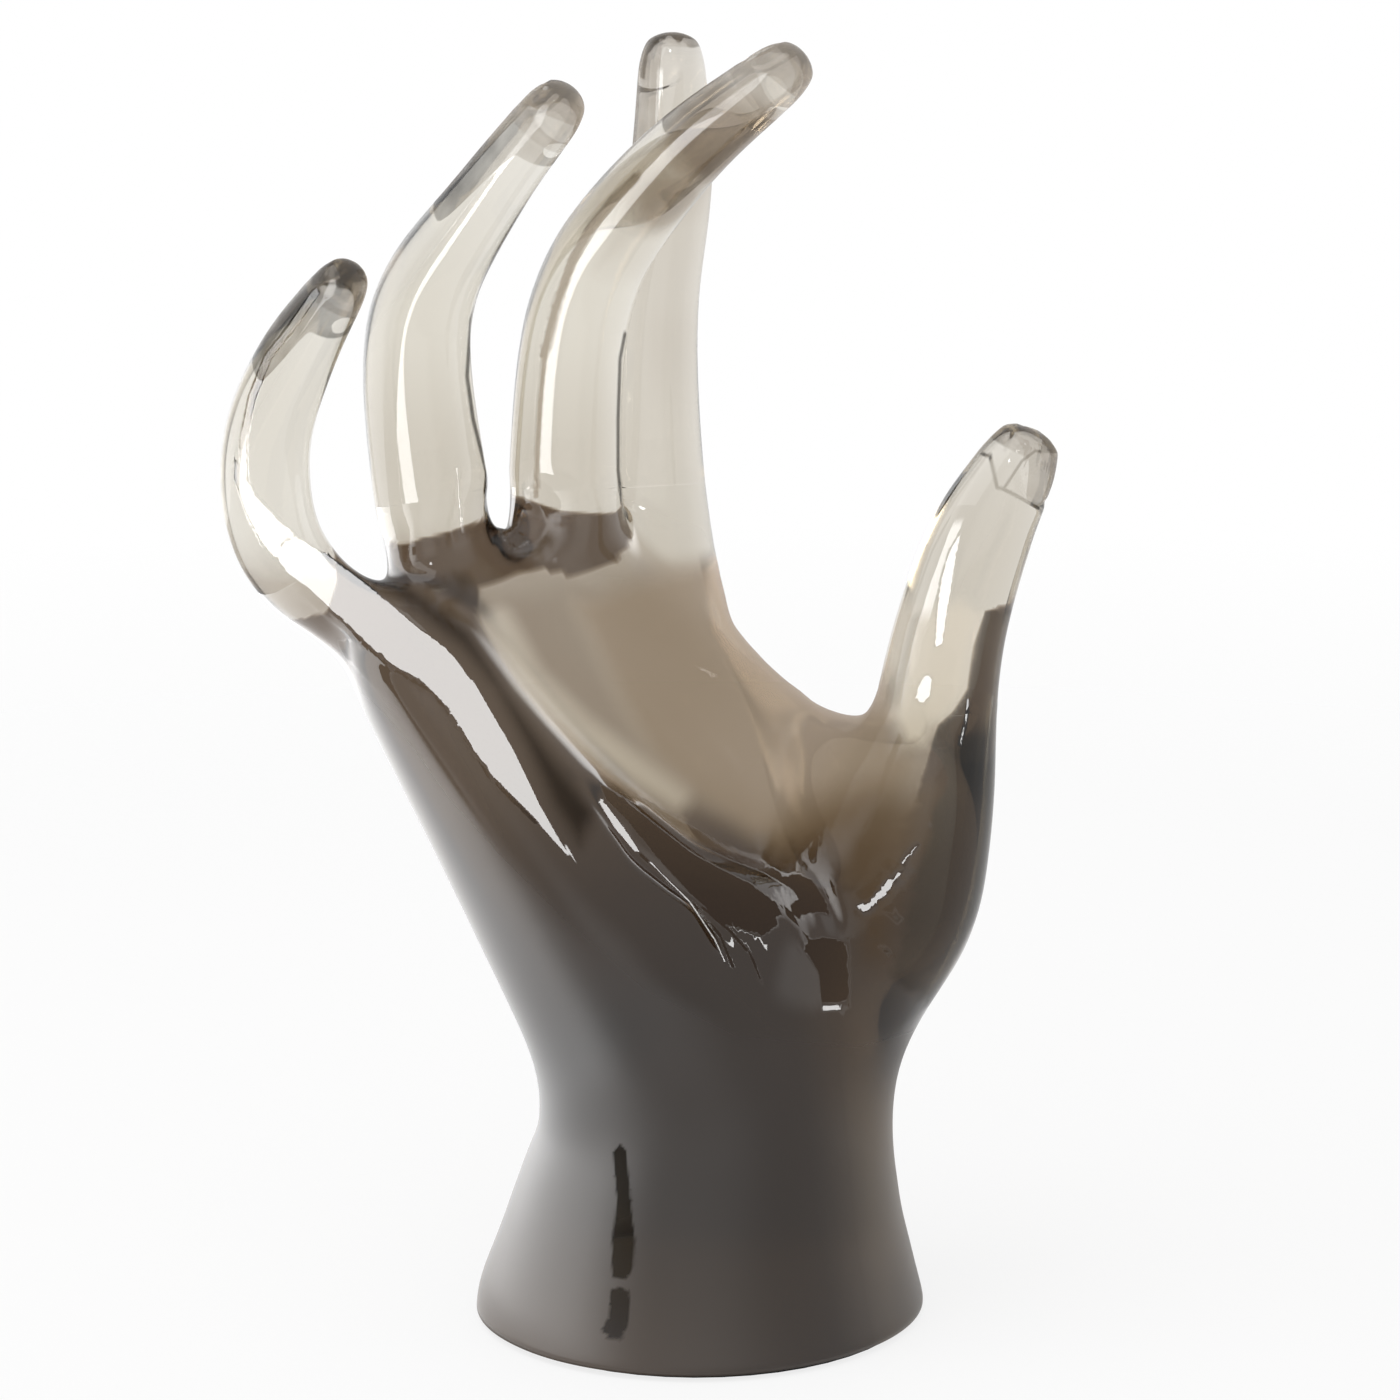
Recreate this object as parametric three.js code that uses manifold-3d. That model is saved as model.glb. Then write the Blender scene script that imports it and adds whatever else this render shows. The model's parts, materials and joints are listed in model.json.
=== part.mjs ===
// A large decorative hand, cast in smoke-tinted clear resin, standing on its flared wrist.
// The palm and wrist are one casting. Each finger and the thumb is a casting of its own, bonded to
// the palm on a flat face and located by a clear dowel. A felt pad covers the underside.
// Sizes are in millimetres and angles in degrees. +Z is up, the palm faces -Y, the thumb is on the
// +X side, and the origin is the centre of the underside of the pad.
import * as THREE from "three";
import { mergeVertices } from "three/addons/utils/BufferGeometryUtils.js";
import Module from "manifold-3d";

const wasm = await Module();
wasm.setup();

// Driving dimensions

// The row of knuckles: its height above the underside, how far it lies behind the middle of the
// underside, and its length from the little knuckle to the index knuckle.
const KNUCKLE_HEIGHT = 254;
const KNUCKLE_SETBACK = 90;
const KNUCKLE_SPREAD = 121;

const FELT_THICKNESS = 2;
const FELT_INSET = 6;
const FELT_SIDES = 24;
const BOND_GAP = 0.3;
const DOWEL_RADIUS = 5;
const DOWEL_LENGTH = 36;
const DOWEL_CLEARANCE = 0.3;
const DOWEL_SIDES = 16;

// Places on the hand are shares of those three: across towards the thumb, back and up.
const onHand = ([across, back, up]) =>
  new THREE.Vector3(
    across * KNUCKLE_SPREAD,
    back * KNUCKLE_SETBACK,
    FELT_THICKNESS + up * KNUCKLE_HEIGHT,
  );

// The wrist and palm, as elliptical sections from the underside up to the knuckles: the centre of
// each, half its breadth across the palm and half its depth from palm to back.
const PALM = [
  { at: [0, 0, 0], breadth: 86, depth: 84 },
  { at: [0.017, -0.011, 0.134], breadth: 76, depth: 72 },
  { at: [0.041, -0.022, 0.276], breadth: 67, depth: 63 },
  { at: [0.05, 0.022, 0.402], breadth: 64, depth: 55 },
  { at: [0.033, 0.167, 0.535], breadth: 65, depth: 45 },
  { at: [-0.025, 0.444, 0.701], breadth: 68, depth: 35 },
  { at: [-0.091, 0.744, 0.858], breadth: 74, depth: 29 },
  { at: [-0.14, 0.978, 0.992], breadth: 80, depth: 26 },
];

// Pads of flesh on the palm, each a tapered run of round sections: the outer heel of the palm, up to
// the little knuckle, and the web between the thumb and the index knuckle.
const PADS = [
  {
    blend: 28,
    path: [
      [-0.198, 0, 0.417],
      [-0.314, 0.378, 0.614],
      [-0.529, 0.978, 0.906],
    ],
    radii: [34, 34, 20],
  },
  {
    blend: 24,
    path: [
      [0.347, 0.733, 0.882],
      [0.471, 0.156, 0.815],
      [0.529, -0.378, 0.772],
    ],
    radii: [20, 15, 22],
  },
];

// Half the breadth of a finger at the knuckles, where the fingers stand side by side, and of the ball
// of the thumb. A girth is a share of these.
const FINGER_HALF = 0.19 * KNUCKLE_SPREAD;
const THUMB_HALF = 36;

// Each finger runs from its knuckle, inside the palm, through its bones. A bone has its length, its
// lean from upright towards the palm side, its splay towards the thumb side, and its girth at its far
// end. The bond, where the finger meets the palm, lies this far past its blend into the palm.
const FINGERS = [
  {
    name: "little_finger",
    knuckle: [-0.612, 1.2, 0.976],
    girth: 0.61,
    bones: [
      { length: 46, lean: -14, splay: -46, girth: 0.74 },
      { length: 40, lean: 2, splay: -12, girth: 0.74 },
      { length: 44, lean: 30, splay: 0, girth: 0.65 },
      { length: 40, lean: 40, splay: 6, girth: 0.46 },
    ],
    bond: 28,
    rows: 16,
  },
  {
    name: "ring_finger",
    knuckle: [-0.347, 1.111, 1.008],
    girth: 1,
    bones: [
      { length: 50, lean: -14, splay: -4, girth: 0.98 },
      { length: 60, lean: -4, splay: 0, girth: 0.87 },
      { length: 54, lean: 32, splay: 12, girth: 0.63 },
      { length: 47, lean: 40, splay: 13, girth: 0.52 },
    ],
    bond: 33,
    rows: 20,
  },
  {
    name: "middle_finger",
    knuckle: [0.033, 1.011, 1.008],
    girth: 1,
    bones: [
      { length: 50, lean: -4, splay: 1, girth: 0.96 },
      { length: 66, lean: 2, splay: 7, girth: 0.87 },
      { length: 60, lean: 32, splay: 18, girth: 0.72 },
      { length: 56, lean: 45, splay: 25, girth: 0.54 },
    ],
    bond: 38,
    rows: 21,
  },
  {
    name: "index_finger",
    knuckle: [0.388, 0.967, 0.976],
    girth: 0.96,
    bones: [
      { length: 46, lean: -16, splay: 4, girth: 0.87 },
      { length: 64, lean: -4, splay: 3, girth: 0.74 },
      { length: 54, lean: 3, splay: 6, girth: 0.72 },
      { length: 43, lean: -2, splay: 2, girth: 0.57 },
    ],
    bond: 40,
    rows: 20,
  },
];

const THUMB = {
  name: "thumb",
  knuckle: [0.281, -0.178, 0.433],
  girth: 1,
  bones: [
    { length: 54, lean: 23, splay: 22, girth: 1.14 },
    { length: 54, lean: 16, splay: 12, girth: 0.72 },
    { length: 46, lean: 8, splay: 4, girth: 0.6 },
    { length: 44, lean: 14, splay: 9, girth: 0.54 },
    { length: 31, lean: 14, splay: 24, girth: 0.42 },
  ],
  bond: 92,
  rows: 15,
};

// Where the thumb grows out of the palm: an upright oval round the ball of the thumb.
const THUMB_ROOT = { at: [0.496, -0.067, 0.63], facing: [2, -2, 1], half_height: 61, half_width: 36 };

// A finger is a little thinner through than across, and neighbouring forms flow into each other.
const DEPTH_SHARE = 0.94;
const FINGER_BLEND = 10;
const THUMB_BLEND = 26;

// The skin is a net of squares laid over the hand: its counts across a finger, across the web
// between two fingers, through the hand from palm to back, up the palm, and round the thumb's root.
const ACROSS_FINGER = 5;
const ACROSS_WEB = 2;
const THROUGH = 4;
const PALM_ROWS = 34;
const THUMB_ROOT_ON_PALM = [15, 24];
const WEB_ROW = 29;
const THUMB_SIDE_TURN = 0.12;
const FINGER_ROOT_ROWS = 3;
const THUMB_ROOT_ROWS = 8;
const FINGER_ROOT_SHARE = 0.6;
const SMOOTHING_ROUNDS = 24;

// The last ring of the net lies this share of the way up the dome over a tip.
const TIP_RISE = 0.6;

const { degToRad, lerp, clamp, smoothstep, mapLinear } = THREE.MathUtils;
const ACROSS = new THREE.Vector3(1, 0, 0);
const UP = new THREE.Vector3(0, 0, 1);

// Forms: a form is a run of elliptical sections along a smooth centre line

// The value at t from 0 to 1, eased through the given values.
function eased(values, t) {
  const last = values.length - 1;
  const k = Math.min(Math.floor(t * last), last - 1);
  const s = t * last - k;
  const [p, q] = [values[k], values[k + 1]];
  const before = k > 0 ? values[k - 1] : 2 * p - q;
  const after = k + 2 <= last ? values[k + 2] : 2 * q - p;
  const slope = (q - before) / 2;
  const bend = (after - p) / 2;
  const rise = s * s * (3 - 2 * s);
  return p + (q - p) * rise + slope * s * (1 - s) * (1 - s) - bend * s * s * (1 - s);
}

function makeForm(points, breadths, depths, steps) {
  const curve = new THREE.CatmullRomCurve3(points, false, "centripetal");
  return Array.from({ length: steps + 1 }, (_, k) => {
    const t = k / steps;
    const along = curve.getTangent(t);
    const across = ACROSS.clone().projectOnPlane(along).normalize();
    const through = along.clone().cross(across);
    const [breadth, depth] = [eased(breadths, t), eased(depths, t)];
    return { at: curve.getPoint(t), along, across, through, breadth, depth };
  });
}

// The section at a share from 0 to 1 of a form's length.
function sectionAt(form, share) {
  const at = clamp(share, 0, 1) * (form.length - 1);
  const k = Math.min(Math.floor(at), form.length - 2);
  const [a, b] = [form[k], form[k + 1]];
  const mixed = (part) => a[part].clone().lerp(b[part], at - k);
  return {
    at: mixed("at"),
    along: mixed("along").normalize(),
    across: mixed("across").normalize(),
    through: mixed("through").normalize(),
    breadth: lerp(a.breadth, b.breadth, at - k),
    depth: lerp(a.depth, b.depth, at - k),
  };
}

const step = new THREE.Vector3();
const offset = new THREE.Vector3();

// How far p lies outside a form, taken at the nearest place on its centre line, with round ends.
function outsideForm(form, p) {
  let nearest = Infinity;
  let k = 0;
  let t = 0;
  for (let n = 0; n + 1 < form.length; n++) {
    step.subVectors(form[n + 1].at, form[n].at);
    offset.subVectors(p, form[n].at);
    const along = clamp(offset.dot(step) / step.lengthSq(), 0, 1);
    const distance = offset.addScaledVector(step, -along).lengthSq();
    if (distance < nearest) [nearest, k, t] = [distance, n, along];
  }
  const [a, b] = [form[k], form[k + 1]];
  offset.subVectors(p, step.copy(a.at).lerp(b.at, t));
  const breadth = lerp(a.breadth, b.breadth, t);
  const depth = lerp(a.depth, b.depth, t);
  const reach = Math.min(breadth, depth);
  const x = lerp(offset.dot(a.across), offset.dot(b.across), t);
  const y = lerp(offset.dot(a.through), offset.dot(b.through), t);
  const z = lerp(offset.dot(a.along), offset.dot(b.along), t);
  const near = Math.hypot(x / breadth, y / depth, z / reach);
  if (near < 0.001) return -reach;
  const slope = Math.hypot(x / (breadth * breadth), y / (depth * depth), z / (reach * reach));
  return (near * (near - 1)) / slope;
}

// Joins two distances so that their forms flow into each other over the blend.
function flow(a, b, blend) {
  const share = Math.max(blend - Math.abs(a - b), 0) / blend;
  return Math.min(a, b) - (share * share * blend) / 4;
}

// The centre line of a digit: its knuckle, then the far end of each bone.
function centreLine({ knuckle, bones }) {
  const points = [onHand(knuckle)];
  for (const { length, lean, splay } of bones) {
    const [back, side] = [degToRad(lean), degToRad(splay)];
    const way = new THREE.Vector3(
      Math.sin(side),
      -Math.sin(back) * Math.cos(side),
      Math.cos(back) * Math.cos(side),
    );
    points.push(points.at(-1).clone().addScaledVector(way, length));
  }
  return points;
}

const palmForm = makeForm(
  PALM.map((s) => onHand(s.at)),
  PALM.map((s) => s.breadth),
  PALM.map((s) => s.depth),
  28,
);

const padForms = PADS.map(({ path, radii, blend }) => ({
  blend,
  form: makeForm(path.map(onHand), radii, radii, 6),
}));

const digits = [...FINGERS, THUMB].map((digit) => {
  const isThumb = digit === THUMB;
  const half = isThumb ? THUMB_HALF : FINGER_HALF;
  const breadths = [digit, ...digit.bones].map(({ girth }) => girth * half);
  const depths = breadths.map((breadth) => breadth * DEPTH_SHARE);
  const form = makeForm(centreLine(digit), breadths, depths, 4 * digit.bones.length);
  const length = digit.bones.reduce((sum, bone) => sum + bone.length, 0);
  const blend = isThumb ? THUMB_BLEND : FINGER_BLEND;
  const bondShare = (digit.bond + blend) / length;
  const bondSection = sectionAt(form, bondShare);
  const rootRows = isThumb ? THUMB_ROOT_ROWS : FINGER_ROOT_ROWS;
  return { ...digit, form, bondShare, bondSection, blend, isThumb, rootRows };
});

const facing = new THREE.Vector3(...THUMB_ROOT.facing).normalize();
const down = new THREE.Vector3(0, 0, -1).projectOnPlane(facing).normalize();
const thumbRoot = {
  at: onHand(THUMB_ROOT.at),
  along: facing,
  across: down,
  through: facing.clone().cross(down),
  breadth: THUMB_ROOT.half_height,
  depth: THUMB_ROOT.half_width,
};

function outsideHand(p) {
  let distance = outsideForm(palmForm, p);
  for (const { form, blend } of padForms) distance = flow(distance, outsideForm(form, p), blend);
  for (const { form, blend } of digits) distance = flow(distance, outsideForm(form, p), blend);
  return distance;
}

// The net: blocks of cells on one lattice, with a block for the palm and one for each digit

const STRIDE = ACROSS_FINGER + ACROSS_WEB;
const PALM_ACROSS = FINGERS.length * STRIDE - ACROSS_WEB;
const BASE = "palm_and_wrist";

const palmBlock = { low: [0, 0, 0], high: [PALM_ACROSS, THROUGH, PALM_ROWS] };
const blocks = digits.map((digit, d) => {
  const rows = digit.rootRows + digit.rows;
  if (digit.isThumb) {
    const low = [PALM_ACROSS, 0, THUMB_ROOT_ON_PALM[0]];
    return { digit, axis: 0, low, high: [PALM_ACROSS + rows, THROUGH, THUMB_ROOT_ON_PALM[1]] };
  }
  const low = [d * STRIDE, 0, PALM_ROWS];
  const high = [d * STRIDE + ACROSS_FINGER, THROUGH, PALM_ROWS + rows];
  return { digit, axis: 2, low, high };
});

const holds = ({ low, high }, cell) => cell.every((c, n) => c >= low[n] && c < high[n]);
const touches = ({ low, high }, node) => node.every((c, n) => c >= low[n] && c <= high[n]);

// The name of the piece that a cell belongs to, or nothing outside the hand.
function pieceAt(cell) {
  if (holds(palmBlock, cell)) return BASE;
  const block = blocks.find((b) => holds(b, cell));
  if (!block) return undefined;
  const row = cell[block.axis] - block.low[block.axis];
  return row < block.digit.rootRows ? BASE : block.digit.name;
}

// The cosine and sine of the angle at a share of the way round an ellipse's rim.
function onRim(breadth, depth, share) {
  const pieces = 90;
  const lengths = [0];
  for (let n = 0; n < pieces; n++) {
    const angle = ((n + 0.5) * 2 * Math.PI) / pieces;
    lengths.push(lengths[n] + Math.hypot(breadth * Math.sin(angle), depth * Math.cos(angle)));
  }
  const wanted = share * lengths[pieces];
  const n = Math.max(lengths.findIndex((length) => length > wanted), 1);
  const part = (wanted - lengths[n - 1]) / (lengths[n] - lengths[n - 1]);
  const angle = ((n - 1 + part) * 2 * Math.PI) / pieces;
  return [Math.cos(angle), Math.sin(angle)];
}

// Where a node of a block's cross-section lies in a section: a of m across and b of n through. A turn
// moves the nodes on the thumb's side round towards the palm side, as a share of the rim.
function inSection(section, a, b, m, n, turn = 0) {
  const { at, across, through, breadth, depth } = section;
  const place = at.clone();
  if (a > 0 && a < m && b > 0 && b < n) {
    const [x, y] = [(2 * a) / m - 1, (2 * b) / n - 1];
    const [u, v] = [x * Math.sqrt(1 - (y * y) / 2), y * Math.sqrt(1 - (x * x) / 2)];
    return place.addScaledVector(across, u * breadth).addScaledVector(through, v * depth);
  }
  let way = n / 2 + m + n + a;
  if (a === m) way = b - n / 2;
  else if (b === n) way = n / 2 + (m - a);
  else if (a === 0) way = n / 2 + m + (n - b);
  const round = 2 * (m + n);
  const even = ((way + round) % round) / round;
  const share = even < 0.5 ? even * (1 + 2 * turn) - turn : even - 2 * turn * (even - 0.5);
  const [u, v] = onRim(breadth, depth, (share + 1) % 1);
  return place.addScaledVector(across, u * breadth).addScaledVector(through, v * depth);
}

// The last section of a digit, part of the way up the dome over its tip.
function tipSection({ form }) {
  const tip = form.at(-1);
  const narrowed = Math.sqrt(1 - TIP_RISE * TIP_RISE);
  const at = tip.at.clone().addScaledVector(tip.along, TIP_RISE * tip.depth);
  return { ...tip, at, breadth: tip.breadth * narrowed, depth: tip.depth * narrowed };
}

// Where a node of a digit's block first lies: up to the bond, on a straight line from the root.
function inBlock({ digit, axis, low, high }, node) {
  const row = node[axis] - low[axis];
  const across = axis === 0 ? 2 : 0;
  const m = high[across] - low[across];
  const a = axis === 0 ? high[2] - node[2] : node[0] - low[0];
  const placeIn = (section) => inSection(section, a, node[1], m, THROUGH);
  const { form, bondShare, bondSection, isThumb, rootRows } = digit;
  const rowsUp = row - rootRows;
  if (rowsUp === digit.rows) return placeIn(tipSection(digit));
  if (rowsUp >= 0) {
    return placeIn(sectionAt(form, lerp(bondShare, 1, rowsUp / (digit.rows - 1))));
  }
  const root = isThumb ? thumbRoot : sectionAt(form, bondShare * FINGER_ROOT_SHARE);
  return placeIn(root).lerp(placeIn(bondSection), row / rootRows);
}

// Where a node of the palm's block first lies. On the thumb's side the rows spread out beside its
// root and bunch up over the web.
function onPalm([i, j, k]) {
  const [low, high] = THUMB_ROOT_ON_PALM;
  const turn = THUMB_SIDE_TURN * smoothstep(k, 0, low) * (1 - smoothstep(k, high, PALM_ROWS));
  let spread = k;
  if (k > high) spread = mapLinear(k, high, PALM_ROWS, WEB_ROW, PALM_ROWS);
  else if (k > low) spread = mapLinear(k, low, high, low, WEB_ROW);
  const row = lerp(k, spread, smoothstep(i, 0.3 * PALM_ACROSS, PALM_ACROSS));
  return inSection(sectionAt(palmForm, row / PALM_ROWS), i, j, PALM_ACROSS, THROUGH, turn);
}

function firstPlace(node) {
  const [i, j, k] = node;
  const block = blocks.find((b) => touches(b, node));
  if (block) return inBlock(block, node);
  if (k < PALM_ROWS) return onPalm(node);
  const f = Math.floor(i / STRIDE);
  const [left, right] = [f * STRIDE + ACROSS_FINGER, (f + 1) * STRIDE];
  const share = (i - left) / (right - left);
  return firstPlace([left, j, k]).lerp(firstPlace([right, j, k]), share);
}

const beyondBond = (block, node) =>
  touches(block, node) && node[block.axis] - block.low[block.axis] > block.digit.rootRows;

// The flat face that a node has to keep to, if any: the underside or a bond.
function flatFor(node) {
  if (node[2] === 0) return { at: palmForm[0].at, normal: UP };
  for (const block of blocks) {
    const row = node[block.axis] - block.low[block.axis];
    if (!touches(block, node) || row !== block.digit.rootRows) continue;
    const { at, along } = block.digit.bondSection;
    return { at, normal: along, digit: block.digit };
  }
  return undefined;
}

// Every node and every square of the net. A square lies between a cell and what is beside it.
const nodes = new Map();
const squares = [];

function nodeFor(place) {
  const key = place.join();
  if (!nodes.has(key)) {
    const at = firstPlace(place);
    const loose = !blocks.some((block) => beyondBond(block, place));
    const links = { skin: new Set(), inner: new Set() };
    nodes.set(key, { at, flat: flatFor(place), loose, onSkin: false, ...links });
  }
  return nodes.get(key);
}

const SIDES = [0, 1, 2].flatMap((axis) => [-1, 1].map((way) => ({ axis, way })));

function addSquare(cell, { axis, way }, piece, beside) {
  const [u, v] = [(axis + 1) % 3, (axis + 2) % 3];
  const corner = (a, b) => {
    const place = [...cell];
    place[axis] += way > 0 ? 1 : 0;
    place[u] += a;
    place[v] += b;
    return nodeFor(place);
  };
  const round = [corner(0, 0), corner(1, 0), corner(1, 1), corner(0, 1)];
  if (way < 0) round.reverse();
  const flat = beside !== undefined || (axis === 2 && cell[2] === 0 && way < 0);
  round.forEach((node, n) => {
    if (!flat) node.onSkin = true;
    const kind = flat ? "inner" : "skin";
    const next = round[(n + 1) % 4];
    node[kind].add(next);
    next[kind].add(node);
  });
  squares.push({ piece, round });
}

for (const { low, high } of [palmBlock, ...blocks])
  for (let i = low[0]; i < high[0]; i++)
    for (let j = low[1]; j < high[1]; j++)
      for (let k = low[2]; k < high[2]; k++)
        for (const side of SIDES) {
          const cell = [i, j, k];
          const next = [i, j, k];
          next[side.axis] += side.way;
          const [piece, beside] = [pieceAt(cell), pieceAt(next)];
          if (piece !== beside) addSquare(cell, side, piece, beside);
        }

// Laying the net: each node moves to the middle of its neighbours and back onto the hand

const SLOPE_STEP = 0.5;
const LARGEST_MOVE = 6;
const FIRST_ROUNDS = 5;
const LAST_ROUNDS = 3;

function slopeAt(p) {
  const slope = new THREE.Vector3();
  for (const axis of ["x", "y", "z"]) {
    const [ahead, behind] = [p.clone(), p.clone()];
    ahead[axis] += SLOPE_STEP;
    behind[axis] -= SLOPE_STEP;
    slope[axis] = (outsideHand(ahead) - outsideHand(behind)) / (2 * SLOPE_STEP);
  }
  return slope;
}

function settle({ at, flat, onSkin }, times) {
  for (let n = 0; n < times; n++) {
    if (flat) at.addScaledVector(flat.normal, -step.subVectors(at, flat.at).dot(flat.normal));
    if (!onSkin) return;
    const slope = slopeAt(at);
    if (flat) slope.projectOnPlane(flat.normal);
    const move = clamp(-outsideHand(at) / slope.length(), -LARGEST_MOVE, LARGEST_MOVE);
    at.addScaledVector(slope.normalize(), move);
  }
}

for (const node of nodes.values()) settle(node, FIRST_ROUNDS);
for (let round = 0; round < SMOOTHING_ROUNDS; round++) {
  for (const node of nodes.values()) {
    if (!node.loose) continue;
    const near = [...(node.onSkin ? node.skin : node.inner)];
    const middle = near.reduce((sum, other) => sum.add(other.at), new THREE.Vector3());
    node.at.lerp(middle.divideScalar(near.length), 0.5);
  }
  for (const node of nodes.values()) settle(node, 1);
}
for (const node of nodes.values()) settle(node, LAST_ROUNDS);

// Pieces

const SAME_PLACE = 0.001;

// A piece's squares as triangles, split on their shorter diagonal, with half the gap left at a bond.
function castingGeometry(name) {
  const corners = [];
  const placed = ({ at, flat }) => {
    if (!flat?.digit) return at;
    const side = flat.digit.name === name ? 1 : -1;
    return at.clone().addScaledVector(flat.normal, (side * BOND_GAP) / 2);
  };
  for (const { piece, round } of squares) {
    if (piece !== name) continue;
    const [a, b, c, d] = round.map(placed);
    const straight = a.distanceTo(c) <= b.distanceTo(d);
    corners.push(...(straight ? [a, b, c, a, c, d] : [a, b, d, b, c, d]));
  }
  return mergeVertices(new THREE.BufferGeometry().setFromPoints(corners), SAME_PLACE);
}

function solidOf(geometry) {
  const bare = geometry.clone().deleteAttribute("normal").deleteAttribute("uv");
  const merged = mergeVertices(bare, SAME_PLACE);
  const mesh = new wasm.Mesh({
    numProp: 3,
    vertProperties: new Float32Array(merged.getAttribute("position").array),
    triVerts: new Uint32Array(merged.getIndex().array),
  });
  return new wasm.Manifold(mesh);
}

function geometryOf(solid) {
  const { vertProperties, triVerts } = solid.getMesh();
  const geometry = new THREE.BufferGeometry();
  geometry.setAttribute("position", new THREE.BufferAttribute(vertProperties, 3));
  geometry.setIndex(new THREE.BufferAttribute(triVerts, 1));
  return geometry;
}

// A round bar centred on a digit's bond and square to it.
function barGeometry({ bondSection: { at, along, across } }, radius, length) {
  const bar = new THREE.CylinderGeometry(radius, radius, length, DOWEL_SIDES);
  const through = across.clone().cross(along);
  const frame = new THREE.Matrix4().makeBasis(across, along, through);
  return bar.applyMatrix4(frame.setPosition(at));
}

const HOLE_RADIUS = DOWEL_RADIUS + DOWEL_CLEARANCE;
const HOLE_LENGTH = DOWEL_LENGTH + 2 * DOWEL_CLEARANCE;
const holeFor = (digit) => solidOf(barGeometry(digit, HOLE_RADIUS, HOLE_LENGTH));

function drilled(name, boredFor) {
  let solid = solidOf(castingGeometry(name));
  for (const digit of boredFor) solid = solid.subtract(holeFor(digit));
  return geometryOf(solid);
}

const resin = (color) => new THREE.MeshStandardMaterial({ color, roughness: 0.05, metalness: 0 });
const smokeResin = resin(0x9a9189);
const clearResin = resin(0xd8d4cc);
const felt = new THREE.MeshStandardMaterial({ color: 0x141414, roughness: 0.95, metalness: 0 });

const hand = new THREE.Group();

function addPiece(name, geometry, material) {
  const piece = new THREE.Mesh(geometry, material);
  piece.name = name;
  hand.add(piece);
}

addPiece(BASE, drilled(BASE, digits), smokeResin);
for (const digit of digits) {
  addPiece(digit.name, drilled(digit.name, [digit]), smokeResin);
  const dowel = barGeometry(digit, DOWEL_RADIUS, DOWEL_LENGTH);
  addPiece(`${digit.name.replace("_finger", "")}_dowel`, dowel, clearResin);
}

// The pad follows the underside, set in from its rim, and the hand rests on it.
function feltPad() {
  const [{ breadth, depth }] = PALM;
  const outline = new THREE.Shape();
  outline.absellipse(0, 0, breadth - FELT_INSET, depth - FELT_INSET, 0, 2 * Math.PI);
  const thickness = FELT_THICKNESS - BOND_GAP;
  const options = { depth: thickness, bevelEnabled: false, curveSegments: FELT_SIDES };
  return new THREE.ExtrudeGeometry(outline, options);
}
addPiece("base_felt", feltPad(), felt);

export default hand;
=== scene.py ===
"""Builds the looks of a standing hand sculpture in smoke-tinted clear resin."""

import json
import math

import bmesh
import bpy
import numpy as np
from bpy.props import FloatProperty, FloatVectorProperty, PointerProperty
from mathutils import Matrix, Vector

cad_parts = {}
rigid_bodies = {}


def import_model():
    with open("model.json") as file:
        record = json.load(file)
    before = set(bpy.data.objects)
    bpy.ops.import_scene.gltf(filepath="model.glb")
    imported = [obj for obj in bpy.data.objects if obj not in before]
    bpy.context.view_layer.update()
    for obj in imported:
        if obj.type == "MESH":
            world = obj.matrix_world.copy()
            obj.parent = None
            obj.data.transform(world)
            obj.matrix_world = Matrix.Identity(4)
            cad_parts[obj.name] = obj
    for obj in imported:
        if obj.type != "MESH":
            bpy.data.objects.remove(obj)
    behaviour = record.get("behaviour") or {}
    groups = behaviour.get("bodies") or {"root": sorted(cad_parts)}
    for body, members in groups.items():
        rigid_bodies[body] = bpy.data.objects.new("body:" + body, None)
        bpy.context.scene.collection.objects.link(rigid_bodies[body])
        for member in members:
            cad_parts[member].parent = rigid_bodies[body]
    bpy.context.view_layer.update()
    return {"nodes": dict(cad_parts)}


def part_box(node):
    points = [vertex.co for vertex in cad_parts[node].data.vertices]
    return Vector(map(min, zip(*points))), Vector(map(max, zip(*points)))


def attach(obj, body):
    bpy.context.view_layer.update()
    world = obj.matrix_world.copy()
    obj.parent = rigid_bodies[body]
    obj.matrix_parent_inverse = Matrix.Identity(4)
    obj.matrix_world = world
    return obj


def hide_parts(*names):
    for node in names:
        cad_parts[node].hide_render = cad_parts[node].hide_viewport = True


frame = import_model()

bl_info = {
    "name": "Resin hand sculpture",
    "version": (1, 0, 0),
    "blender": (4, 5, 0),
    "location": "3D View > Sidebar > Hand",
    "description": "Casts, bonds and lights a hand sculpture in smoke-tinted resin",
    "category": "Object",
}

# Lengths on the sculpture are in millimetres, with the origin under the middle of the foot.
MM = 0.001
# The camera and the lights are placed in metres.
CAMERA_PLACE = Vector((-1.1160, -1.5347, 0.6716))
PICTURE_WIDTH = 1400.0
LENS = 136.7
SENSOR = 36.0
VIEW = (math.radians(-36), math.radians(13))
AIM = Vector((0.0, 0.0, 0.2265))
CLIP_START = 0.01
# The light and the dark gap that the facets face: azimuth and elevation in degrees, and distance.
TOP_LIGHT = (-34, 46, 3.0)
DARK_GAP = (-86, 9, 0.95)
PALM = "palm_and_wrist"
DIGITS = ("little_finger", "ring_finger", "middle_finger", "index_finger", "thumb")
CASTINGS = (PALM, *DIGITS)
DOWELS = tuple(f"{digit.split('_')[0]}_dowel" for digit in DIGITS)

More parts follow.
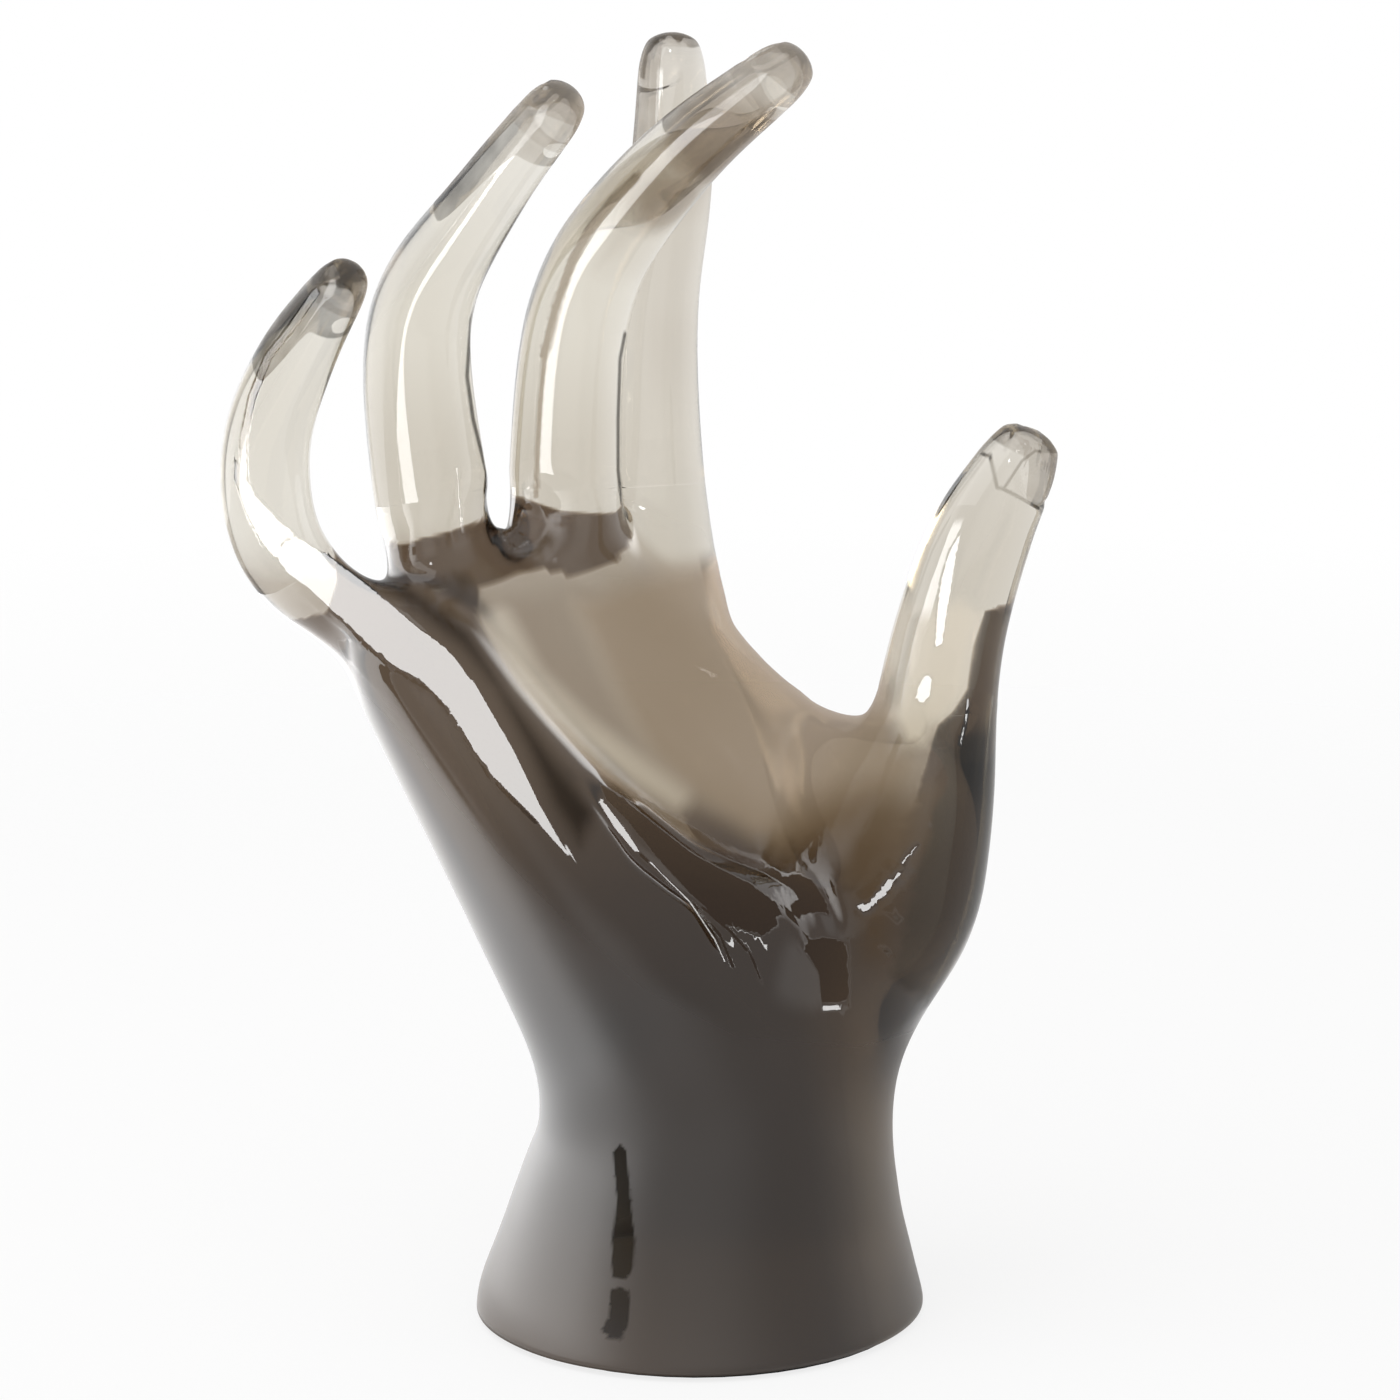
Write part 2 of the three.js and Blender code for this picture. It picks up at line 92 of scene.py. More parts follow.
# Lines along which the surface is worked.
HOLLOW = [(-30, 74, 272), (-16, 48, 244), (0, 22, 218), (18, -6, 198)]
HEEL_FOLD = [
    (-41, 21, 210), (-38, 11, 197), (-35, 3, 188), (-32, -5, 180),
    (-24, -13, 171), (-16, -21, 163), (-13, -31, 150), (-12, -38, 141),
]
THUMB_ARC = [(-24, 12, 201), (-16, 5, 194), (-5, -5, 182), (8, -12, 178)]
THUMB_RIDGE = [(-36, 17, 206), (-21, 3, 191), (-6, -8, 179), (11, -27, 170), (18, -54, 159)]
SHORT_LINE = [(22, -26, 184), (19, -40, 177), (18, -48, 171), (21, -59, 154)]
THENAR_LINE = [(37, -67, 182), (31, -65, 170), (25, -60, 164)]
# The middle of the bar-shaped facet, where the net is only made finer.
ROD = [(16, -54, 153), (17, -56, 140), (16, -56, 127)]
EDGE_BAND = [
    (-112, 103, 286), (-106, 98, 276), (-94, 88, 262), (-85, 74, 250), (-76, 59, 240),
    (-69, 44, 224), (-64, 30, 208), (-59, 15, 192), (-55, 4, 180),
]
ROOT_PAD = [(-66, 81, 267), (-47, 76, 271), (-27, 77, 274), (-9, 75, 279), (12, 72, 279)]

# The outline, across and up, of the part of the palm side where the darker tint is deep: partly the
# resin's smoke and partly painted shade, where thickness and refraction darken the palm.
DEEP_SMOKE_AND_SHADE = [
    (-150, 252), (-108, 258), (-100, 262), (-96, 271), (-91, 284), (-80, 283), (-66, 282),
    (-60, 286), (-46, 288), (-25, 289), (-18, 297), (-7, 292), (14, 290), (23, 292),
    (24, 280), (10, 273), (-5, 268), (-18, 272), (-30, 270), (-45, 268), (-51, 258),
    (-49, 244), (-42, 224), (-29, 205), (-16, 192), (-5, 182), (10, 176), (25, 172),
    (38, 180), (50, 215), (54, 230), (59, 235), (64, 243), (65, 259), (68, 272),
    (90, 274), (150, 274), (150, -20), (-150, -20),
]
# Its sharp borders near the roots of the digits, where the net is made finer.
SMOKE_AND_SHADE_EDGES = (
    [(-108, 105, 258), (-100, 101, 262), (-96, 99, 271), (-91, 95, 284)],
    [(-66, 98, 282), (-60, 92, 286), (-46, 86, 288), (-25, 92, 289)],
    [(-18, 88, 297), (-7, 76, 292), (14, 75, 290), (23, 78, 292)],
    [
        (50, -70, 215), (54, -71, 230), (59, -74, 235), (64, -75, 243), (65, -77, 259),
        (68, -80, 272),
    ],
)
# How much of the darker tint each part of the skin has, as a share of the deepest: partly the
# resin's smoke and partly painted shade.
PALM_SMOKE_AND_SHADE = 0.34
LOW_PALM_SMOKE_AND_SHADE = 0.4
THUMB_SIDE_CLEARING = 0.12
HEEL_CLEARING = 0.5
FOOT_SMOKE_AND_SHADE = 0.62
DIGIT_SMOKE_AND_SHADE = 0.1
INDEX_SMOKE_AND_SHADE = 0.12
# The border of the smoke and painted shade: how soft it is, how much softer in the hollow, and the
# hollow's middle.
SMOKE_AND_SHADE_BORDER = 1.2
HOLLOW_BORDER = 5.0
HOLLOW_ACROSS, HOLLOW_UP = -10, 225
# How high the palm's lighter smoke and painted shade reach, and how much lower on the thumb's side.
SMOKE_AND_SHADE_TOP = 296
SMOKE_AND_SHADE_TOP_DROP = 14

# Each fold and ridge: its line, its half width and its depth or height.
FOLDS = (
    (HEEL_FOLD, 3.2, 1.6),
    (THUMB_ARC, 3.0, 1.4),
    (SHORT_LINE, 2.8, 1.0),
    (THENAR_LINE, 3.0, 1.4),
)
RIDGES = ((THUMB_RIDGE, 8.0, 1.6), (ROOT_PAD, 9.0, 3.0))
# The raised lips beside a fold: their height, as a share of its depth, and how far out they lie.
LIP_HEIGHT = 0.35
LIP_PLACE = 1.9
# Each nail: its digit, the middle of its plate, the way it faces and grows, and its half sizes.
NAILS = (
    ("little_finger", (-111.6, 76.0, 392.4), (0, 0.766, 0.643), (0.105, -0.639, 0.762), 6.6, 7.5),
    ("ring_finger", (-24.4, 69.0, 450.9), (0, 0.766, 0.643), (0.225, -0.626, 0.746), 7.6, 8.5),
    ("middle_finger", (53.8, 35.9, 463.7), (0, 0.707, 0.707), (0.423, -0.641, 0.641), 7.8, 9.0),
    ("index_finger", (60.6, 114.5, 450.9), (0, 0.999, -0.035), (0.035, 0.035, 0.999), 8.0, 9.0),
    ("thumb", (93.5, -86.0, 321.0), (0.476, -0.876, 0.1), (0.407, -0.221, 0.886), 11.5, 12.5),
)
# Each tip with painted shade, standing for the dark that refraction gives the fingertips: its end,
# the way the digit points, the side that it runs down, its half width, how far it reaches, how much
# further on that side, and where that starts and how fast it grows.
LEFT = (-0.809, 0.588, 0)
RIGHT = (0.809, -0.588, 0)
SHADED_TIPS = (
    ((-111.3, 66.8, 388.6), (0.105, -0.639, 0.762), LEFT, 11.0, 16, 30, 0.3, 0.55),
    ((-23.7, 58.8, 446.2), (0.225, -0.626, 0.746), LEFT, 12.5, 18, 42, 0.3, 0.55),
    ((55.1, 26.1, 457.7), (0.423, -0.641, 0.641), LEFT, 12.5, 20, 26, 0.3, 0.5),
    ((60.7, 102.8, 454.3), (0.035, 0.035, 0.999), LEFT, 13.5, -6, 50, 0.3, 0.12),
    ((88.2, -73.9, 323.9), (0.407, -0.221, 0.886), RIGHT, 15.0, -3, 14, 0.0, 0.5),
)
TIP_SCALE = 40.0
TIP_WIDTH = 1.9
TIP_LENGTH = 90
# The clear spot left in the painted shade of each tip, a painted glint: its depth from the end and
# its length, then its place and its width across the digit, as shares of the digit's half width,
# and how sharp its border is.
SPOT_DEPTH = 10.0
SPOT_LENGTH = 3.6
SPOT_PLACE = 0.45
SPOT_WIDTH = 0.3
SPOT_EDGE = 8
# Each patch of painted shade on the fingers: its middle, its radius, its soft border and its share
# of the deepest tint.
SHADE_PATCHES = (
    ((36, 36, 432), 27, 16, 0.5),
    ((24, 52, 408), 20, 14, 0.25),
)
NAIL_GROOVE = 0.8
NAIL_GROOVE_WIDTH = 0.11
NAIL_FLATNESS = 0.5
NAIL_SQUARENESS = 2.6
NAIL_TIP = 0.8
NAIL_THICKNESS = 16
NAIL_NET_REACH = 1.5
HOLLOW_REACH = 44.0
HOLLOW_DEPTH = 9.0
BAND_WIDTH = 6.8
BAND_FACING = (-0.501, -0.711, 0.492)
BAND_FLATNESS = 0.7
BAND_RISE, BAND_CUT = 0.3, 3
PALM_SIDE = (-0.5, -0.84, 0.2)
REFINED_REACH = 7.0
# Each web between two digits: its middle, its radius and how often it is smoothed.
WEBS = (((40, 0, 208), 36.0, 14), ((-73, 104, 270), 23.0, 12), ((-18, 102, 285), 17.0, 10))
CURVE_STEPS = 8
TAPER = 0.2

# Outlines and strokes drawn on the picture that the camera takes, in 1400ths of its width, across
# and down from its top left corner. A number after one is a stroke's half width, or 0 for a closed
# outline. The first ones are painted tones, most of them painted shade or painted light.
STILL = [
    (575, 605), (660, 575), (740, 555), (830, 575), (895, 690), (900, 750), (915, 765),
    (890, 800), (850, 825), (800, 848), (750, 835), (700, 800), (655, 760), (620, 700),
]
# Painted shade low on the palm, by the thumb, where refraction darkens it.
LOWER_PALM_SHADE = [
    (770, 845), (810, 805), (870, 790), (925, 795), (922, 841), (902, 875), (890, 921),
    (880, 955), (868, 955), (858, 920), (838, 880), (800, 862),
]
# Painted shade: a darker band across the middle finger.
MIDDLE_FINGER_SHADE = [
    (625, 199), (675, 154), (754, 108), (792, 100), (782, 130), (754, 160), (720, 182),
    (686, 205), (634, 240), (596, 268), (608, 238),
]
# A painted sheen: a lighter streak across the palm, standing for a soft reflection.
SHEEN_STREAK = [(500, 622), (530, 678), (580, 728), (640, 772), (676, 797)]
EDGE_SHADE = [
    (352, 572), (420, 590), (470, 628), (505, 690), (560, 765), (596, 812), (580, 845),
    (552, 805), (525, 745), (496, 690), (462, 650), (400, 600),
]
# A painted reflection: dark strips on the wrist, standing for the dark gap between the lights
# mirrored there.
WRIST_DARK_REFLECTION = (
    ([
        (613, 1152), (620, 1144), (626, 1150), (629, 1180), (632, 1215), (635, 1240),
        (633, 1268), (625, 1280), (612, 1278), (612, 1240), (617, 1200),
    ], 0),
    ([
        (610, 1290), (620, 1287), (629, 1292), (630, 1310), (626, 1330), (619, 1341),
        (610, 1338), (601, 1330), (609, 1318),
    ], 0),
)
# Not a tone: where the forearm, wrist and foot are satin.
SOFT_WRIST = [
    (225, 600), (290, 625), (345, 668), (385, 705), (420, 745), (455, 795), (505, 850),
    (570, 915), (650, 985), (740, 1030), (860, 1040), (960, 1010), (1080, 1400), (360, 1400),
    (360, 1000),
]
# Painted light: the thumb's root left clear and lighter, standing for a highlight.
THUMB_ROOT_LIGHT = [
    (915, 620), (960, 600), (980, 615), (972, 645), (964, 690), (952, 710), (934, 724),
    (925, 745), (905, 745), (893, 715),
]
# Painted shade: the thumb's side and the panel below it darkened, standing for a darker reflection.
THUMB_SIDE_SHADE = [
    (985, 612), (1012, 608), (1006, 700), (1006, 818), (990, 892), (960, 950), (930, 1009),
    (893, 975), (906, 921), (916, 877), (930, 841), (933, 815), (949, 778), (941, 760),
    (930, 745), (938, 728), (956, 711), (969, 690), (976, 645),
]
# Painted shade: dark streaks along the edges of the fingers, where refraction darkens them.
FINGER_EDGE_SHADES = (
    ([(544, 356), (555, 311), (572, 261), (591, 227), (614, 199), (636, 177)], 4.5),
    ([(544, 360), (540, 400), (537, 450), (536, 496)], 2.4),
    ([(483, 286), (471, 320), (467, 376), (473, 419), (486, 470), (503, 512)], 1.8),
    ([(625, 333), (620, 359), (618, 419), (618, 470), (622, 504)], 1.6),
)
THUMB_PANEL_EDGE = [*THUMB_SIDE_SHADE[7:], THUMB_SIDE_SHADE[0]]
# Painted shade along the lines of the thumb's nail groove, and a dark patch by it.
THUMB_NAIL_SHADE = (
    ([(982, 454), (990, 456), (997, 487), (1010, 492), (1038, 508)], 1.8),
    ([(1005, 487), (1022, 461), (1035, 451), (1055, 452)], 1.4),
    ([(1041, 452), (1043, 431), (1052, 424), (1063, 432), (1061, 453)], 0),
)
# These facets catch the light.
BAND = [
    (234, 455), (243, 470), (256, 494), (278, 518), (300, 538), (330, 556), (380, 594),
    (420, 628), (448, 649), (475, 683), (489, 707), (510, 742), (530, 783), (541, 807),
    (568, 855), (558, 845), (534, 818),
    (489, 773), (461, 732), (441, 701), (420, 680), (390, 665), (350, 628), (310, 590),
    (285, 572), (262, 545), (245, 512), (234, 480),
]
FOLD_GLINT = [(597, 800), (606, 804), (624, 827), (641, 853), (634, 851), (614, 828)]
HEEL_GLINT = [
    (854, 905), (868, 902), (881, 886), (897, 868), (933, 821), (900, 878), (885, 897), (864, 914),
]
BAR_GLINT = [(822, 1004), (847, 1004), (847, 1011), (822, 1011)]
THUMB_GLINT = [
    (963, 528), (957, 556), (953, 583), (948, 612), (943, 645), (934, 648), (936, 613),
    (941, 576), (949, 550),
]
ROOT_GLINT = [(927, 673), (933, 678), (931, 696), (923, 705), (914, 699), (919, 682)]
LIT_MARKS = (
    (BAND, 0), (FOLD_GLINT, 0), (HEEL_GLINT, 0), (BAR_GLINT, 0), (THUMB_GLINT, 0),
    (ROOT_GLINT, 0),
    ([(316, 292), (292, 327), (268, 357), (252, 398), (243, 440), (244, 476)], 4.2),
    ([(457, 468), (459, 500), (463, 534)], 1.8),
    ([(960, 745), (966, 720), (968, 700)], 1.6),
    ([(650, 862), (690, 902), (715, 940), (725, 962)], 1.2),
)
# These look at the dark gap between the lights.
LONG_FACET = [
    (599, 783), (640, 807), (682, 842), (716, 866), (751, 883), (783, 907), (778, 924),
    (764, 938), (723, 924), (689, 893), (654, 855), (627, 821), (606, 800),
]
LEAF_FACET = [
    (637, 795), (661, 809), (696, 828), (726, 847), (747, 852), (783, 873), (799, 873),
    (813, 880), (826, 900), (831, 916), (809, 911), (792, 890), (764, 873), (730, 860),
    (696, 843), (668, 821),
]
BAR_FACET = [
    (800, 945), (809, 940), (826, 936), (844, 941), (850, 952), (850, 1010), (822, 1010),
    (818, 973), (806, 955),
]
DARK_MARKS = (
    (LONG_FACET, 0), (LEAF_FACET, 0), (BAR_FACET, 0),
    ([(640, 854), (696, 907), (720, 935), (733, 967)], 2.0),
    ([(702, 907), (730, 931), (751, 955), (761, 981)], 2.0),
    ([
        (330, 604), (346, 622), (366, 646), (384, 659), (396, 668), (412, 680), (434, 692),
        (451, 718), (472, 746), (489, 776), (510, 797), (536, 822),
    ], 3.0),
    ([(854, 911), (871, 935), (888, 955), (893, 938), (896, 914)], 1.6),
)
# Round these the net is made finer, up to this far outside them.
FINE_MARKS = (
    *LIT_MARKS, *DARK_MARKS, *WRIST_DARK_REFLECTION, *THUMB_NAIL_SHADE, *FINGER_EDGE_SHADES, (THUMB_PANEL_EDGE, 2.0),
)
MARK_REACH = 7.0
MARK_BORDER = 1.6
# The painted tones, where part of the light goes straight through the surface: their outlines or
# strokes, how soft their borders are, the share of the light that does, and the tint it takes on.
# All but the first are painted light and shade: a painted sheen on the palm, painted shade beside
# the palm's edge, low on the palm, on the middle finger, along the thumb's side, along the fingers'
# edges and in the thumb nail's lines, painted light on the thumb's root and a painted dark
# reflection on the wrist. The first only gives the palm's middle a calm tint, mostly without
# refraction or reflections. Crisp ones are on the camera's side only.
CRISP_BORDER = 2.0
VEILS = (
    ("calm_palm", [(STILL, 0)], 36.0, 0.9, (0.69, 0.635, 0.59)),
    ("palm_streak", [(SHEEN_STREAK, 13)], 26.0, 0.7, (0.95, 0.93, 0.92)),
    ("edge_shade", [(EDGE_SHADE, 0)], 26.0, 0.8, (0.13, 0.11, 0.1)),
    ("deep_palm", [(LOWER_PALM_SHADE, 0)], 64.0, 0.75, (0.42, 0.35, 0.28)),
    ("deep_middle", [(MIDDLE_FINGER_SHADE, 0)], 20.0, 0.2, (0.62, 0.57, 0.52)),
    ("thumb_root", [(THUMB_ROOT_LIGHT, 0)], 22.0, 0.95, (1.0, 0.98, 0.96)),
    ("thumb_side", [(THUMB_SIDE_SHADE, 0)], 3.0, 0.33, (0.22, 0.24, 0.25)),
    ("finger_streaks", FINGER_EDGE_SHADES, 1.9, 0.75, (0.5, 0.43, 0.36)),
    ("thumb_nail", THUMB_NAIL_SHADE, 1.6, 0.75, (0.5, 0.48, 0.45)),
    ("wrist_strip", WRIST_DARK_REFLECTION, 1.6, 0.9, (0.13, 0.13, 0.15)),
)
# The satin places: the palm's hollow, and the wrist with its softer border.
SOFT_REACH = 36.0
WRIST_SOFTNESS = 1.5
WRIST_BORDER = 50

# The bonds between the castings and the bores for their dowels.
SAME_PLACE = 0.01
RIM_REACH = 0.4
BORE = 6.0
HALF_BORE_LENGTH = 19.0
CAP_REACH = 0.3
CAP_RADIUS = 60.0
BOND_LINE = 0.02
UNDERSIDE_CREASE = 0.85

# The glow of the cards: its strength, and its soft borders at the sides, below and above.
GLOWS = {
    "softbox": (10.0, 0.12, 0.12, 0.12),
    "softbox_top": (15.0, 0.08, 0.08, 0.08),
    "left_wall": (4.4, 0.32, 0.3, 0.3),
    "rim_wall": (1.4, 0.3, 0.3, 0.3),
    "left_sheet": (4.6, 0.45, 0.001, 0.6),
    "streak_card": (4.0, 0.4, 0.4, 0.4),
    "front_panel": (0.6, 0.3, 0.3, 0.3),
    "right_wall": (0.5, 0.4, 0.3, 0.3),
}
GAP_GLOW = 0.42
# Each card: its glow, its azimuth and elevation in degrees and its distance, its width and height,
# and the castings that it shines on, or none named for all. The sheet lies on the floor.
SHEET = "left_sheet"
SHEET_HEIGHT = 3.0
CARDS = (
    ("softbox_left", "softbox", (-78, 0, 0.7), 0.36, 1.0, DIGITS[:-1]),
    ("softbox_thumb", "softbox", (-94, 2, 0.7), 0.34, 0.8, DIGITS[-1:]),
    ("softbox_top", "softbox_top", TOP_LIGHT, 0.36, 0.36, ()),
    ("left_wall", "left_wall", (-132, 0, 1.1), 3.8, 2.6, (PALM,)),
    ("rim_wall", "rim_wall", (-150, 0, 1.0), 2.4, 2.6, DIGITS),
    (SHEET, "left_sheet", (-132, 0, 0.5), 2.8, 1.2, (PALM,)),
    ("streak_card", "streak_card", (102, 27, 1.2), 0.8, 0.6, (PALM,)),
    ("front_panel", "front_panel", (-30, 10, 2.4), 3.0, 2.6, ()),
    ("right_wall", "right_wall", (75, 0, 1.4), 2.2, 1.6, ()),
    ("dark_gap", "dark_gap", DARK_GAP, 0.2, 0.2, ()),
)
# The key lamp hangs high on the left; its size is in metres and its power in watts.
KEY_PLACE = (-100, 60, 2.0)
KEY_SIZE = 2.0
KEY_POWER = 18
# How brightly the room lights the object, next to how bright it looks, and how white the floor is.
ROOM_LIGHT = 0.7
FLOOR_GLOW = 0.8

# The resin: its refraction, how rough its satin is, and the steps of smoke and painted shade that
# are mixed.
RESIN_IOR = 1.49
SATIN = 0.25
SMOKE_AND_SHADE_STOPS = (0, 0.2, 0.45, 0.7, 1)


def lookout(azimuth, elevation):
    """The direction from the sculpture to whoever looks at it from these angles."""
    flat = math.cos(elevation)
    return Vector((math.sin(azimuth) * flat, -math.cos(azimuth) * flat, math.sin(elevation)))


def way_of(azimuth, elevation):
    """The same direction, from angles in degrees."""
    return lookout(math.radians(azimuth), math.radians(elevation))


def place_of(azimuth, elevation, distance):
    """The place at these angles, in degrees, and this distance from the sculpture."""
    return AIM + way_of(azimuth, elevation) * distance


# Pieces and how they are handed over


def linked(data, name):
    piece = bpy.data.objects.new(name, data)
    bpy.context.scene.collection.objects.link(piece)
    return piece


def dress(mesh, finish):
    mesh.materials.clear()
    mesh.materials.append(finish)


def hand_over(piece, slot, *nodes):
    """Makes a finished piece ride with the sculpture in place of the nodes it stands for."""
    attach(piece, "root")
    if nodes:
        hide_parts(*nodes)


def vectors_of(rows, key):
    flat = np.empty(len(rows) * 3, np.float32)
    rows.foreach_get(key, flat)
    return flat.reshape(-1, 3).astype(float)


def places_of(mesh):
    return vectors_of(mesh.vertices, "co")


def normals_of(mesh):
    return vectors_of(mesh.vertex_normals, "vector")


def check_closed(net, name):
    if any(not edge.is_manifold for edge in net.edges):
        raise RuntimeError(f"{name} isn't closed")


def mesh_of(net, name):
    """Turns a net into a mesh, and frees it."""
    mesh = bpy.data.meshes.new(name)
    net.to_mesh(mesh)
    net.free()
    return mesh


def place_all(mesh, places):
    mesh.vertices.foreach_set("co", places.astype(np.float32).ravel())
    mesh.update()


# The skin: the six castings are joined into one net, smoothed, carved and cut again at the bonds


def merged_copy(names):
    """Copies nodes into one net, merged, with each face numbered by the node that it came from."""
    net = bmesh.new()
    for number, name in enumerate(names):
        known = len(net.faces)
        net.from_mesh(frame["nodes"][name].data)
        net.faces.ensure_lookup_table()
        for face in net.faces[known:]:
            face.material_index = number
    bmesh.ops.remove_doubles(net, verts=net.verts, dist=SAME_PLACE * MM)
    return net


def bond_of(digit, dowel):
    """The middle of a digit's bond and the direction from the palm into the digit."""
    bar = merged_copy([dowel])
    places = np.array([vertex.co for vertex in bar.verts])
    bar.free()
    middle = places.mean(0)
    axis = np.linalg.svd(places - middle, full_matrices=False)[2][0]
    low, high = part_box(digit)
    if axis @ (np.array((low + high) / 2) - middle) < 0:
        axis = -axis
    return Vector(middle), Vector(axis)


BONDS = {digit: bond_of(digit, dowel) for digit, dowel in zip(DIGITS, DOWELS)}


def is_hidden(face, middle, axis):
    """Whether a face is part of a bond's flat faces or of the bore for its dowel."""
    offsets = [vertex.co - middle for vertex in face.verts]
    along = [abs(offset.dot(axis)) / MM for offset in offsets]
    out = [(offset - axis * offset.dot(axis)).length / MM for offset in offsets]
    flat = max(along) < CAP_REACH and max(out) < CAP_RADIUS
    return flat or (max(out) < BORE and max(along) < HALF_BORE_LENGTH)


def joined_net():
    """The whole hand as one closed net of squares, without the bonds' flat faces."""
    net = merged_copy(CASTINGS)
    hidden = []
    for face in net.faces:
        name = CASTINGS[face.material_index]
        near = DIGITS if name == PALM else (name,)
        if any(is_hidden(face, *BONDS[digit]) for digit in near):
            hidden.append(face)
    bmesh.ops.delete(net, geom=hidden, context="FACES")
    rims = [vertex for vertex in net.verts if vertex.is_boundary]
    bmesh.ops.remove_doubles(net, verts=rims, dist=RIM_REACH * MM)
    check_closed(net, "the joined skin")
    bmesh.ops.join_triangles(
        net,
        faces=net.faces,
        cmp_materials=True,
        angle_face_threshold=math.radians(60),
        angle_shape_threshold=math.radians(70),
        topology_influence=1.0,
    )
    return net


def creased(net):
    """Keeps the edge of the underside crisp when the net is smoothed."""
    crease = net.edges.layers.float.new("crease_edge")
    low = min(vertex.co.z for vertex in net.verts) + SAME_PLACE * MM
    for edge in net.edges:
        flat = [all(v.co.z < low for v in face.verts) for face in edge.link_faces]
        if flat.count(True) == 1:
            edge[crease] = UNDERSIDE_CREASE


def rounded_once(net):
    """Divides and rounds a net one time, and frees it."""
    creased(net)
    carrier = linked(mesh_of(net, "skin"), "carrier")
    rounding = carrier.modifiers.new("rounding", "SUBSURF")
    rounding.levels = rounding.render_levels = 1
    made = carrier.evaluated_get(bpy.context.evaluated_depsgraph_get())
    dense = bpy.data.meshes.new_from_object(made)
    bpy.data.objects.remove(carrier)
    return dense


def curve_through(points):
    """Points along a smooth curve through the given ones, in metres."""
    knots = np.array(points, float) * MM
    padded = np.vstack([2 * knots[0] - knots[1], knots, 2 * knots[-1] - knots[-2]])
    made = []
    for a, b, c, d in zip(padded, padded[1:], padded[2:], padded[3:]):
        for t in np.arange(CURVE_STEPS) / CURVE_STEPS:
            bend = (2 * a - 5 * b + 4 * c - d) * t * t + (3 * b - a - 3 * c + d) * t**3
            made.append(b + ((c - a) * t + bend) / 2)
    return np.array([*made, knots[-1]])


class Line:
    """A curve near the surface, with each place's nearest point on it."""

    def __init__(self, points, places):
        path = curve_through(points)
        lengths = np.linalg.norm(np.diff(path, axis=0), axis=1)
        before = np.concatenate([[0], np.cumsum(lengths)])
        self.distance = np.full(len(places), np.inf)
        self.share = np.zeros(len(places))
        self.nearest = np.zeros_like(places)
        for n, (start, end) in enumerate(zip(path, path[1:])):
            way = end - start
            t = np.clip((places - start) @ way / (way @ way), 0, 1)
            nearest = start + t[:, None] * way
            distance = np.linalg.norm(places - nearest, axis=1)
            closer = distance < self.distance
            self.distance[closer] = distance[closer]
            self.share[closer] = ((before[n] + t * lengths[n]) / before[-1])[closer]
            self.nearest[closer] = nearest[closer]

    def taper(self):
        """1 along the middle of the line, falling to 0 at its ends."""
        near_end = np.minimum(self.share, 1 - self.share)
        return eased(near_end / TAPER)


def eased(t):
    t = np.clip(t, 0, 1)
    return t * t * (3 - 2 * t)


def rising(values, start, length):
    """0 up to the start, then rising softly to 1 over some length."""
    return eased((values - start) / length)


def falling(values, end, length):
    """1 at first, then falling softly over some length to 0 at the end."""
    return eased((end - values) / length)


def within(depth, border):
    """0 outside an outline and 1 inside it, with a soft border of some width."""
    return eased(depth / border + 0.5)


def refine(mesh):
    """Gives the net smaller squares where it will be carved."""
    net = bmesh.new()
    net.from_mesh(mesh)
    bpy.data.meshes.remove(mesh)
    fill_webs(net)
    places = np.array([vertex.co for vertex in net.verts])
    near = np.full(len(places), np.inf)
    for points in (*(fold[0] for fold in FOLDS), *SMOKE_AND_SHADE_EDGES, THUMB_RIDGE, EDGE_BAND, ROD):
        near = np.minimum(near, Line(points, places).distance)
    divide(net, near < REFINED_REACH * MM, 1)
    net.normal_update()
    places = np.array([vertex.co for vertex in net.verts])
    back = lookout(*VIEW)
    ahead = np.array([vertex.normal.dot(back) for vertex in net.verts]) > 0
    divide(net, ahead & (marked(FINE_MARKS, *on_picture(places)) > -MARK_REACH), 1)
    for _, centre, _, _, _, length in NAILS:
        middle = Vector(centre) * MM
        reach = NAIL_NET_REACH * length * MM
        divide(net, [(vertex.co - middle).length < reach for vertex in net.verts], 3)
    return net


def divide(net, close, cuts):
    """Divides the edges whose ends are both close."""
    near = {vertex for vertex, is_close in zip(net.verts, close) if is_close}
    edges = [edge for edge in net.edges if near.issuperset(edge.verts)]
    bmesh.ops.subdivide_edges(net, edges=edges, cuts=cuts, use_grid_fill=True)


def fill_webs(net):
    """Smooths the creases between the digits into soft webs."""
    for centre, radius, rounds in WEBS:
        middle = Vector(centre) * MM
        near = [v for v in net.verts if (v.co - middle).length < radius * MM]
        for _ in range(rounds):
            bmesh.ops.smooth_vert(
                net, verts=near, factor=0.5, use_axis_x=True, use_axis_y=True, use_axis_z=True
            )


def dense_skin():
    skin = rounded_once(refine(rounded_once(joined_net())))
    carve(skin)
    paint_skin(skin)
    keep_normals(skin)
    return skin


def on_picture(places):
    """Where the camera sees places, in 1400ths of the picture's width across and down."""
    back = np.array(lookout(*VIEW))
    right = np.array((math.cos(VIEW[0]), math.sin(VIEW[0]), 0))
    offsets = places - np.array(CAMERA_PLACE)
    scale = PICTURE_WIDTH * LENS / SENSOR / -(offsets @ back)
    middle = PICTURE_WIDTH / 2
    return middle + scale * (offsets @ right), middle - scale * (offsets @ np.cross(back, right))


